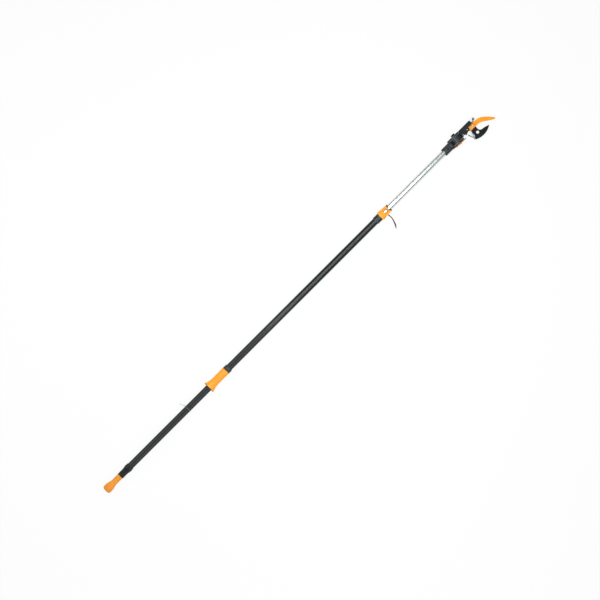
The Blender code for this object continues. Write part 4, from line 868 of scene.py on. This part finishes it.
SHANK_R = 0.0018
screw_low, screw_high = span("socket_screw", "z")
screw_head = half_size("socket_screw").y
head_z = screw_high - 0.0012
socket_screw = turned("socket_grub", [
    (screw_low, 0.0), (screw_low, SHANK_R), (head_z, SHANK_R), (head_z, screw_head), (screw_high, screw_head),
    (screw_high, 0.0)], 0.0004, at=screw_axis)
driven(socket_screw, 0.0018, screw_high - 0.0008, screw_high + 0.002, at=screw_axis)
stand_for(socket_screw, "socket_screw", COATED)

bolt_low, bolt_high = span("knuckle_bolt", "y")
stand_for(turned("knuckle_axle", rod(bolt_low, bolt_high, 0.0040), 0.0005, "y", DRUM, 48), "knuckle_bolt")
nut_low, nut_high = span("knuckle_nut", "y")
BOSS_R = half_size("knuckle_nut").x


def fluted(along, radius, angle):
    """Finger flutes round the knuckle's boss."""
    if radius < BOSS_R * 0.8 or along > nut_high - 0.0012:
        return radius
    return radius - 0.0005 * (0.5 + 0.5 * math.cos(18 * angle))


boss_nut = lathe("knuckle_boss", fillet([
    (nut_low, DRUM_BORE_R), (nut_low, BOSS_R), (nut_high - 0.0014, BOSS_R), (nut_high, BOSS_R - 0.0014),
    (nut_high, 0.0048), (nut_high - 0.0008, 0.0040), (nut_high - 0.0008, 0.0), (bolt_high + GAP, 0.0),
    (bolt_high + GAP, DRUM_BORE_R)], 0.0004), "y", DRUM, 144, fluted)
stand_for(boss_nut, "knuckle_nut")

lock_low, lock_high = span("lock_lever", "y")
NUB = 0.0024
LOCK_WAIST_R = 0.01275
LOCK_REACH = half_size("lock_lever").x
LOCK_END_R = 0.0085 * 0.7
end = LOCK_REACH - LOCK_END_R
lock_outline = arc((end, 0.0), LOCK_END_R, -70, 70, 16) + arc((0.0, 0.0), LOCK_WAIST_R, 60, 120, 10)
lock_outline += arc((-end, 0.0), LOCK_END_R, 110, 250, 16) + arc((0.0, 0.0), LOCK_WAIST_R, 240, 300, 10)
lock = slab("lock_bar", lock_outline, lock_low + NUB, lock_high, 0.0008, plane="xz", at=DRUM)
nub = turned("tool", rod(lock_low, lock_low + NUB + 0.001, 0.0046), 0.0006, "y", DRUM, 48)
grips = []
for k in range(4):
    for sign in (-1, 1):
        x = sign * (0.0130 + k * 0.0026)
        grips.append(slab("tool", block(x - 0.0005, x + 0.0005, -0.0042, 0.0042), lock_low + NUB - 0.0005,
                          lock_low + NUB + 0.0005, 0.0002, plane="xz", at=DRUM))
lock_bore = tool_rod(lock_low - 0.01, 0.0, DRUM_BORE_R, "y", DRUM)
stand_for(moulded(lock, (nub, *grips), (lock_bore,), voxel=0.00030), "lock_lever")

tip_x = low("lock_lever_tip").x - DRUM.x
tip_low = lock_low + NUB
catch_outline = placed(tip_x, (
    (0.0, lock_high), (0.0, tip_low + 0.0008), (0.0016, tip_low + 0.0008), (0.0030, tip_low + 0.0002),
    (0.0038, tip_low - 0.0012), (0.0052, tip_low - 0.0012), (0.0048, tip_low + 0.0016),
    (0.0036, lock_high - 0.0004), (0.0022, lock_high)))
catch = slab("lock_catch", fillet(catch_outline, 0.0006), -0.0045, 0.0045, 0.0004, at=DRUM)
stand_for(catch, "lock_lever_tip")


# ---- cutting head ----
cover_low, HEAD_HALF = span("head_cover", "z")
PLATE = HEAD_HALF - cover_low
HEAD_BOTTOM, HEAD_TOP = span("head_cover", "y")
SHOULDER, NOSE_X = span("head_cover", "x", DRUM)
POCKET_X = 0.0405
PIVOT_BORE_R = 0.0038
ROLLER_BORE_R = 0.0019
SPRING_BORE_R = 0.0016
COVER_BORE_R = 0.0018
COVER_SCREWS = ("cover_screw_1", "cover_screw_2")
hub = offset("pivot_screw", DRUM)
hook_low, hook_high = span("hook", "z")
ROOT_HALF = 0.0100
ROOT_BACK = 0.0185
LEDGE = hub[1] + ROOT_HALF + GAP
LEDGE_TOP = LEDGE + 0.0024
anchor = offset("spring_anchor", DRUM)
body_roller = offset("body_roller", DRUM)
drive_low, drive_high = span("drive_lever", "z")
washer_low = high("knuckle_washer_low").y - AXIS.y
washer_high = low("knuckle_washer_high").y - AXIS.y
eye_low = DRUM_LOW + CHEEK + 0.0005
eye_high = DRUM_HIGH - CHEEK - 0.0005

RECESS_R = 0.0133
eye = [(eye_low, RECESS_R), (eye_low, DRUM_R)]
for groove_low in (eye_low + 0.0040, eye_high - 0.0050):
    eye += grooves(groove_low, 0.0, 1, DRUM_R, width=0.0010, depth=0.0006, slope=0.0)
eye += [(eye_high, DRUM_R), (eye_high, RECESS_R), (washer_high - GAP, RECESS_R),
        (washer_high - GAP, DRUM_BORE_R), (washer_low + GAP, DRUM_BORE_R), (washer_low + GAP, RECESS_R)]
shell = lathe("head_shell", fillet(eye, 0.0005), "y", DRUM, DRUM_SIDES)
floor_outline = [
    (SHOULDER, HEAD_BOTTOM), (anchor[0] - 0.0050, HEAD_BOTTOM), *arc(anchor, 0.0038, 200, 330, 12),
    (hub[0] - 0.0260, HEAD_BOTTOM), *arc(hub, 0.0145, 235, 395, 40), (NOSE_X, HEAD_TOP - 0.0060),
    (NOSE_X - 0.0040, HEAD_TOP), (SHOULDER, HEAD_TOP)]
walls = ((block(RECESS_R + 0.0012, SHOULDER + 0.0040, eye_low, eye_high), -HEAD_HALF, 0.0006),
         (block(SHOULDER, POCKET_X, HEAD_BOTTOM, HEAD_TOP), -HEAD_HALF, 0.0006),
         (block(POCKET_X - 0.0010, NOSE_X - 0.0030, LEDGE, LEDGE_TOP), hook_low, 0.0003),
         (block(POCKET_X - 0.0010, hub[0] - ROOT_BACK - 0.0006, HEAD_BOTTOM, LEDGE_TOP), hook_low, 0.0003))
solid = [slab("tool", outline, bottom, cover_low - GAP, bevel, at=DRUM) for outline, bottom, bevel in walls]
solid.insert(1, slab("tool", fillet(floor_outline, 0.0012), -HEAD_HALF, PLATE - HEAD_HALF, 0.0008, at=DRUM))
roller_way = block(SHOULDER - 0.0030, POCKET_X + 0.0010, body_roller[1] - 0.0022, body_roller[1] + 0.0022)
holes = [tool_rod(-REACH, 0.0, PIVOT_BORE_R, "z", HUB),
         tool_block(roller_way, drive_high + GAP, cover_low - 2 * GAP, at=DRUM),
         tool_rod(-REACH, 0.0, ROLLER_BORE_R, "z", DRUM + Vector((*body_roller, 0.0))),
         tool_rod(-REACH, 0.0, SPRING_BORE_R, "z", DRUM + Vector((*anchor, 0.0)))]
holes += [tool_rod(hook_low, REACH, COVER_BORE_R, "z", upright(node)) for node in COVER_SCREWS]
stand_for(moulded(shell, solid, holes, smooth=7, keep=0.35), "head_frame", SHEEN_BLACK)

root_x = hub[0] - ROOT_BACK - 0.0010
lid_outline = [(SHOULDER, HEAD_BOTTOM), (root_x - 0.0070, HEAD_BOTTOM), (root_x, HEAD_BOTTOM + 0.0040),
               (root_x, LEDGE - 0.0040), (root_x + 0.0040, LEDGE), (NOSE_X - 0.0010, LEDGE),
               (NOSE_X, HEAD_TOP - 0.0060), (NOSE_X - 0.0040, HEAD_TOP), (SHOULDER, HEAD_TOP)]
lid = slab("head_lid", fillet(lid_outline, 0.0012), cover_low, HEAD_HALF, 0.0009, at=DRUM)
sunk = [(SHOULDER + 0.0090, HEAD_BOTTOM + 0.0095), (root_x - 0.0040, HEAD_BOTTOM + 0.0095),
        (root_x - 0.0040, LEDGE - 0.0005), (root_x + 0.0010, LEDGE + 0.0040),
        (NOSE_X - 0.0060, LEDGE + 0.0040), (NOSE_X - 0.0060, HEAD_TOP - 0.0045),
        (SHOULDER + 0.0090, HEAD_TOP - 0.0045)]
recess = slab("tool", fillet(sunk, 0.0015), HEAD_HALF - 0.0007, HEAD_HALF + 0.004, 0.0003, at=DRUM)
raised = []
for k in range(6):
    bar_low = SHOULDER + 0.0110 + k * 0.0052
    bar = block(bar_low, bar_low + 0.0024, HEAD_TOP - 0.0155, HEAD_TOP - 0.0070)
    raised.append(slab("tool", bar, HEAD_HALF - 0.0020, HEAD_HALF - 0.0001, 0.0004, at=DRUM))
combine(lid, recess, "DIFFERENCE")
lid_holes = [tool_rod(0.0, REACH, COVER_BORE_R, "z", upright(node)) for node in COVER_SCREWS]
roller_place = DRUM + Vector((*body_roller, 0.0))
lid_holes.append(tool_rod(0.0, cover_low + PLATE * 0.5, ROLLER_BORE_R, "z", roller_place))
stand_for(moulded(lid, raised, lid_holes, voxel=0.00035, keep=0.4), "head_cover")


def headed_screw(name, node, shank_r, head_r, head_height, drive):
    """A screw along z with a hexagonal drive in its head."""
    bottom, top = span(node, "z")
    profile = [(bottom, 0.0), (bottom, shank_r), (top - head_height, shank_r), (top - head_height, head_r),
               (top - head_height * 0.35, head_r), (top, head_r - head_height * 0.5), (top, 0.0)]
    made = turned(name, profile, 0.0003, at=upright(node))
    stand_for(driven(made, drive, top - head_height * 0.7, top + 0.002, at=upright(node)), node)


for number, node in enumerate(COVER_SCREWS, 1):
    headed_screw(f"lid_screw_{number}", node, 0.0015, 0.0027, 0.0010, 0.0013)
headed_screw("pivot_bolt", "pivot_screw", 0.0035, 0.0050, 0.0022, 0.0025)
locknut = slab("pivot_locknut", hexagon(half_size("pivot_nut").x), *span("pivot_nut", "z"), 0.0005,
               [circle((0, 0), PIVOT_BORE_R)], at=HUB)
stand_for(locknut, "pivot_nut")

HOOK_LINE = ((0.0120, 0.0000), (0.0250, -0.0003), (0.0375, -0.0024), (0.0510, -0.0088),
             (0.0660, -0.0202), (0.0800, -0.0322), (0.0915, -0.0424), (0.0938, -0.0446))
HOOK_HALF_WIDTH = (0.0100, 0.0101, 0.0104, 0.0100, 0.0088, 0.0068, 0.0038, 0.0014)
PAD_STEP = 0.0009
PAD_EDGE = 0.0004
left, right = band_sides(HOOK_LINE, HOOK_HALF_WIDTH, 7)
corner = ROOT_HALF * 0.8
back = ROOT_BACK - corner
root = arc((-back, ROOT_HALF - corner), corner, 90, 180, 12)
root += arc((-back, corner - ROOT_HALF), corner, 180, 270, 12)
hook_outline = root + right + left[::-1]
grind = [0.0] * len(root)
for i in range(len(right)):
    grind.append(0.0026 * (share((i - 9) / 6) * share((len(right) - 3 - i) / 6)))
grind += [0.0] * len(left)
hook = slab("hook_arm", hook_outline, hook_low, hook_high - PAD_STEP, 0.0009, at=HUB, high_cut=grind, steps=4)
pad_half = ROOT_HALF - PAD_EDGE
pad_middle = corner - ROOT_BACK + PAD_EDGE
pad = [*arc((pad_middle, pad_half - corner), corner, 90, 180, 12),
       *arc((pad_middle, corner - pad_half), corner, 180, 270, 12),
       (0.0105, -pad_half), (0.0140, -0.0040), (0.0140, 0.0040), (0.0105, pad_half)]
pad = slab("tool", fillet(pad, 0.0020), hook_low + 0.001, hook_high, 0.0005, at=HUB)
stand_for(machined(hook, (pad,), (tool_rod(-REACH, REACH, PIVOT_BORE_R, "z", HUB),)), "hook")

BLADE_EDGE = ((0.0105, -0.0100), (0.0095, -0.0180), (0.0105, -0.0285), (0.0175, -0.0362), (0.0330, -0.0388),
              (0.0540, -0.0450))
BLADE_BACK = ((0.0553, -0.0472), (0.0373, -0.0562), (0.0160, -0.0605), (-0.0053, -0.0588), (-0.0224, -0.0535),
              (-0.0325, -0.0480))
BLADE_HEEL = ((-0.0325, -0.0440), (-0.0240, -0.0405), (-0.0195, -0.0330), (-0.0190, -0.0210),
              (-0.0165, -0.0110))
BLADE_HOLE = (-0.0011, -0.0338)
BLADE_HOLE_R = 0.0064
RIVET = (0.0020, -0.0088)
RIVET_BORE_R = 0.0021
blade_low, blade_high = span("blade", "z")
spring_pin = offset("spring_pin", HUB)
hub_arc = arc((0.0, 0.0), 0.0118, 215, -45, 48)
edge = smooth_line(BLADE_EDGE, 7)
backs = smooth_line(BLADE_BACK, 7)
heel = smooth_line(BLADE_HEEL, 7)
blade_outline = hub_arc + edge + backs + heel
ground = [0.0] * len(hub_arc)
for i in range(len(edge)):
    ground.append(0.0042 * share((i - 13) / 5) * share((len(edge) - 1 - i) / 6))
ground += [0.0] * (len(backs) + len(heel))
cuts = [circle((0.0, 0.0), PIVOT_BORE_R, 36), circle(BLADE_HOLE, BLADE_HOLE_R, 48),
        circle(RIVET, RIVET_BORE_R), circle(spring_pin, SPRING_BORE_R)]
if signed_area(blade_outline) < 0:
    ground = ground[::-1]
blade = slab("blade_plate", blade_outline, blade_low, blade_high, 0.0004, cuts, at=HUB, low_cut=ground)
blade.data.materials.append(COATED)
blade.data.materials.append(GROUND_STEEL)
edge_points = [Vector((HUB.x + x, HUB.y + y)) for x, y in edge[14:]]
for face in blade.data.polygons:
    middle = face.center
    near = min((Vector((middle.x, middle.y)) - point).length for point in edge_points)
    if -0.995 < face.normal.z < -0.02 and near < 0.0030 and middle.z < AXIS.z + blade_high - 0.0003:
        face.material_index = 1
stand_for(blade, "blade")

DRIVE_TAIL = ((0.0, 0.0), (-0.0120, -0.0060), (-0.0210, -0.0170), (-0.0240, -0.0310), (-0.0285, -0.0462))
DRIVE_TAIL_HALF = (0.0085, 0.0068, 0.0048, 0.0038, 0.0034)
DRIVE_ARM = ((0.0, 0.0), (0.0130, 0.0105), (0.0245, 0.0202))
DRIVE_ARM_HALF = (0.0085, 0.0052, 0.0042)
def drive_blank(outline):
    return slab("tool", outline, drive_low, drive_high, 0.0004, at=HUB)


blanks = []
for line, halves in ((DRIVE_TAIL, DRIVE_TAIL_HALF), (DRIVE_ARM, DRIVE_ARM_HALF)):
    left, right = band_sides(line, halves)
    blanks.append(drive_blank(left + right[::-1]))
for line, halves in ((DRIVE_ARM, DRIVE_ARM_HALF), (DRIVE_TAIL, DRIVE_TAIL_HALF)):
    blanks.append(drive_blank(circle(line[-1], halves[-1], 36)))
bores = [tool_rod(-REACH, REACH, r, "z", HUB + Vector((*place, 0.0)))
         for place, r in (((0, 0), PIVOT_BORE_R), (DRIVE_ARM[-1], ROLLER_BORE_R), (RIVET, RIVET_BORE_R),
                          (spring_pin, SPRING_BORE_R))]
crank = drive_blank(circle((0, 0), 0.0102, 60))
crank.name = "crank_lever"
stand_for(machined(crank, blanks, bores, sharp=25), "drive_lever")


def plain_pin(name, node, edge=0.0004, waist=None):
    """A pin along z with rounded ends, and a groove for a spring's loop where waist gives one."""
    radius = half_size(node).x
    bottom, top = span(node, "z")
    profile = rod(bottom, top, radius)
    if waist:
        profile[2:2] = [(waist - 0.0005, radius), (waist, radius - 0.0002), (waist + 0.0005, radius)]
    stand_for(turned(name, profile, edge, at=upright(node)), node)


spring_z = (low("return_spring").z + high("return_spring").z) / 2 - AXIS.z
plain_pin("spring_post_1", "spring_anchor", waist=spring_z)
plain_pin("spring_post_2", "spring_pin", waist=spring_z)
plain_pin("crank_rivet", "blade_rivet", 0.0006)
plain_pin("roller_pin_1", "body_roller_pin")
ARM_PIN_R = 0.0016
ARM_PIN_HEAD_R = 0.0030
arm_bottom, arm_top = span("arm_roller_pin", "z")
arm_pin = [(arm_bottom, 0.0), (arm_bottom, ARM_PIN_R), (arm_top - 0.0012, ARM_PIN_R),
           (arm_top - 0.0012, ARM_PIN_HEAD_R), (arm_top, ARM_PIN_HEAD_R), (arm_top, 0.0)]
stand_for(turned("roller_pin_2", arm_pin, 0.0004, at=upright("arm_roller")), "arm_roller_pin")
for name, node in (("roller_1", "body_roller"), ("roller_2", "arm_roller")):
    bottom, top = span(node, "z")
    r = half_size(node).x
    profile = [(bottom, ROLLER_BORE_R), (bottom, r - 0.0005), (bottom + 0.0005, r), (bottom + 0.0011, r),
               (bottom + 0.0015, r - 0.0004), (top - 0.0015, r - 0.0004), (top - 0.0011, r),
               (top - 0.0005, r), (top, r - 0.0005), (top - 0.0004, 0.0032), (top - 0.0004, 0.0028),
               (top, 0.0024), (top, ROLLER_BORE_R)]
    stand_for(lathe(name, profile, "z", upright(node), 64), node)


# ---- spring and straps ----
SPRING_R = 0.0034
SPRING_WIRE_R = 0.00048
SPRING_TURNS = 19
start = upright("spring_anchor") + Vector((0, 0, spring_z))
finish = upright("spring_pin") + Vector((0, 0, spring_z))
way = (finish - start).normalized()
across = way.cross(Vector((0, 0, 1)))
coil_r = SPRING_R - SPRING_WIRE_R
EYE_R = 0.0013 + SPRING_WIRE_R
EYE_LENGTH = 0.0052
COIL_STEPS = 20


def spring_eye(middle, turned):
    """The open loop at one end of the spring, which hooks round a pin."""
    angles = [math.radians(turned + 270 * i / 14) for i in range(15)]
    return [middle + way * (EYE_R * math.cos(a)) + across * (EYE_R * math.sin(a)) for a in angles]


coil = []
for i in range(SPRING_TURNS * COIL_STEPS + 1):
    t = i / (SPRING_TURNS * COIL_STEPS)
    angle = math.tau * SPRING_TURNS * t
    r = coil_r * (0.35 + 0.65 * ease(share(min(t, 1 - t) * SPRING_TURNS)))
    along = EYE_LENGTH + ((finish - start).length - 2 * EYE_LENGTH) * t
    coil.append(start + way * along - across * (r * math.cos(angle)) + Vector((0, 0, r * math.sin(angle))))
spring_path = [*spring_eye(start, -70)[::-1], *coil, *spring_eye(finish, -110)]
spring = wire("spring_coil", spring_path, SPRING_WIRE_R, 8)
stand_for(spring, "return_spring", rides=False)
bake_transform(spring)

STRAP_THICKNESS = 0.0010
roller_r = half_size("body_roller").x
first = offset("body_roller", AXIS)
second = offset("arm_roller", AXIS)


def strap_loop(radius):
    """Round both rollers, with points close together on the straight runs."""
    back = [(second[0] + (first[0] - second[0]) * i / 24, second[1] + radius) for i in range(1, 24)]
    forth = [(first[0] + (second[0] - first[0]) * i / 24, first[1] - radius) for i in range(1, 24)]
    return arc(second, radius, -90, 90, 20) + back + arc(first, radius, 90, 270, 20) + forth


outer_loop = strap_loop(roller_r + GAP + STRAP_THICKNESS)
inner_loop = strap_loop(roller_r + GAP)
strap = slab("strap_loop", outer_loop, *span("head_strap", "z"), 0.0003, [inner_loop], steps=2)
settle(strap)
stand_for(strap, "head_strap", rides=False)
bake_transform(strap)


# ---- floor, light and camera ----
FLOOR_SIZE = 14.0
FLOOR_TONE = 0.95
FLOOR_GLOW = 0.93  # how much of the plain white background the floor shows, over its own tone and shadow
WALLS = 0.20  # the studio's brightness at the walls
CEILING = 0.50  # and overhead
LAMP_COLOR = (0.95, 1.0, 0.985)
SOFTBOX_SIZE = (1.1, 0.26)
FILL_SIZE = (1.8, 1.2)
FILL_POWER = 14.5
LENS = 170.0
SENSOR = 36.0
VIEW_WIDTH = 2.560
VIEW_MIDDLE = (0.0110, 0.0128)
VIEW_TURN = math.radians(-44.97)
def shown_background(tree):
    """1 for rays that see the plain white background: straight from the camera, in gloss or through glass."""
    rays = tree.nodes.new("ShaderNodeLightPath")
    either = math_node(tree, "MAXIMUM", rays.outputs["Is Camera Ray"], rays.outputs["Is Glossy Ray"])
    return math_node(tree, "MAXIMUM", either, rays.outputs["Is Transmission Ray"])


def build_floor():
    bm = bmesh.new()
    bmesh.ops.create_grid(bm, x_segments=8, y_segments=8, size=FLOOR_SIZE)
    floor = new_object("floor", bm)
    material = bpy.data.materials.new("pale_floor")
    material.use_nodes = True
    tree = material.node_tree
    tree.nodes.clear()
    out = tree.nodes.new("ShaderNodeOutputMaterial")
    diffuse = tree.nodes.new("ShaderNodeBsdfDiffuse")
    diffuse.inputs["Color"].default_value = (FLOOR_TONE, FLOOR_TONE, FLOOR_TONE, 1.0)
    glow = tree.nodes.new("ShaderNodeEmission")
    glow.inputs["Color"].default_value = (1.0, 1.0, 1.0, 1.0)
    mix = tree.nodes.new("ShaderNodeMixShader")
    shown = math_node(tree, "MULTIPLY", shown_background(tree), FLOOR_GLOW)
    link(tree, shown, mix.inputs["Fac"])
    link(tree, diffuse.outputs["BSDF"], mix.inputs[1])
    link(tree, glow.outputs["Emission"], mix.inputs[2])
    link(tree, mix.outputs["Shader"], out.inputs["Surface"])
    paint(floor, material)


def build_world():
    """A studio that is bright overhead and dimmer toward the walls."""
    world = bpy.data.worlds.new("studio")
    bpy.context.scene.world = world
    world.use_nodes = True
    tree = world.node_tree
    tree.nodes.clear()
    out = tree.nodes.new("ShaderNodeOutputWorld")
    background = tree.nodes.new("ShaderNodeBackground")
    background.inputs["Color"].default_value = (1.0, 1.0, 1.0, 1.0)
    coordinates = tree.nodes.new("ShaderNodeTexCoord")
    direction = tree.nodes.new("ShaderNodeSeparateXYZ")
    link(tree, coordinates.outputs["Generated"], direction.inputs["Vector"])
    overhead = spread(tree, direction.outputs["Z"], 0.2, 1.0, WALLS, CEILING)
    link(tree, overhead, background.inputs["Strength"])
    link(tree, background.outputs["Background"], out.inputs["Surface"])


def add_lamp(name, place, target, size, power):
    lamp = bpy.data.lights.new(name, "AREA")
    lamp.shape = "RECTANGLE"
    lamp.size, lamp.size_y = size
    lamp.energy = power
    lamp.color = LAMP_COLOR
    obj = bpy.data.objects.new(name, lamp)
    bpy.context.scene.collection.objects.link(obj)
    obj.location = place
    obj.rotation_euler = (Vector(target) - Vector(place)).to_track_quat("-Z", "Y").to_euler()


def build_camera():
    """Straight above, with the picture turned so that the pole runs from lower left to upper right."""
    camera = bpy.data.cameras.new("camera")
    camera.lens = LENS
    camera.sensor_width = SENSOR
    camera.clip_end = 100.0
    obj = bpy.data.objects.new("camera", camera)
    bpy.context.scene.collection.objects.link(obj)
    obj.location = (*VIEW_MIDDLE, AXIS.z + VIEW_WIDTH * LENS / SENSOR)
    obj.rotation_euler = (0.0, 0.0, VIEW_TURN)
    bpy.context.scene.camera = obj


build_floor()
build_world()
for side, power in ((1, 8.2), (-1, 6.8)):
    add_lamp(f"softbox_{side}", (0.38, 0.02 + 0.43 * side, 1.20), (0.38, 0.02, 0.0), SOFTBOX_SIZE, power)
    add_lamp(f"fill_{side}", (-0.85, 0.02 + 1.50 * side, 1.50), (-0.85, 0.0, 0.0), FILL_SIZE, FILL_POWER)
build_camera()
bpy.context.scene.view_settings.view_transform = "Standard"
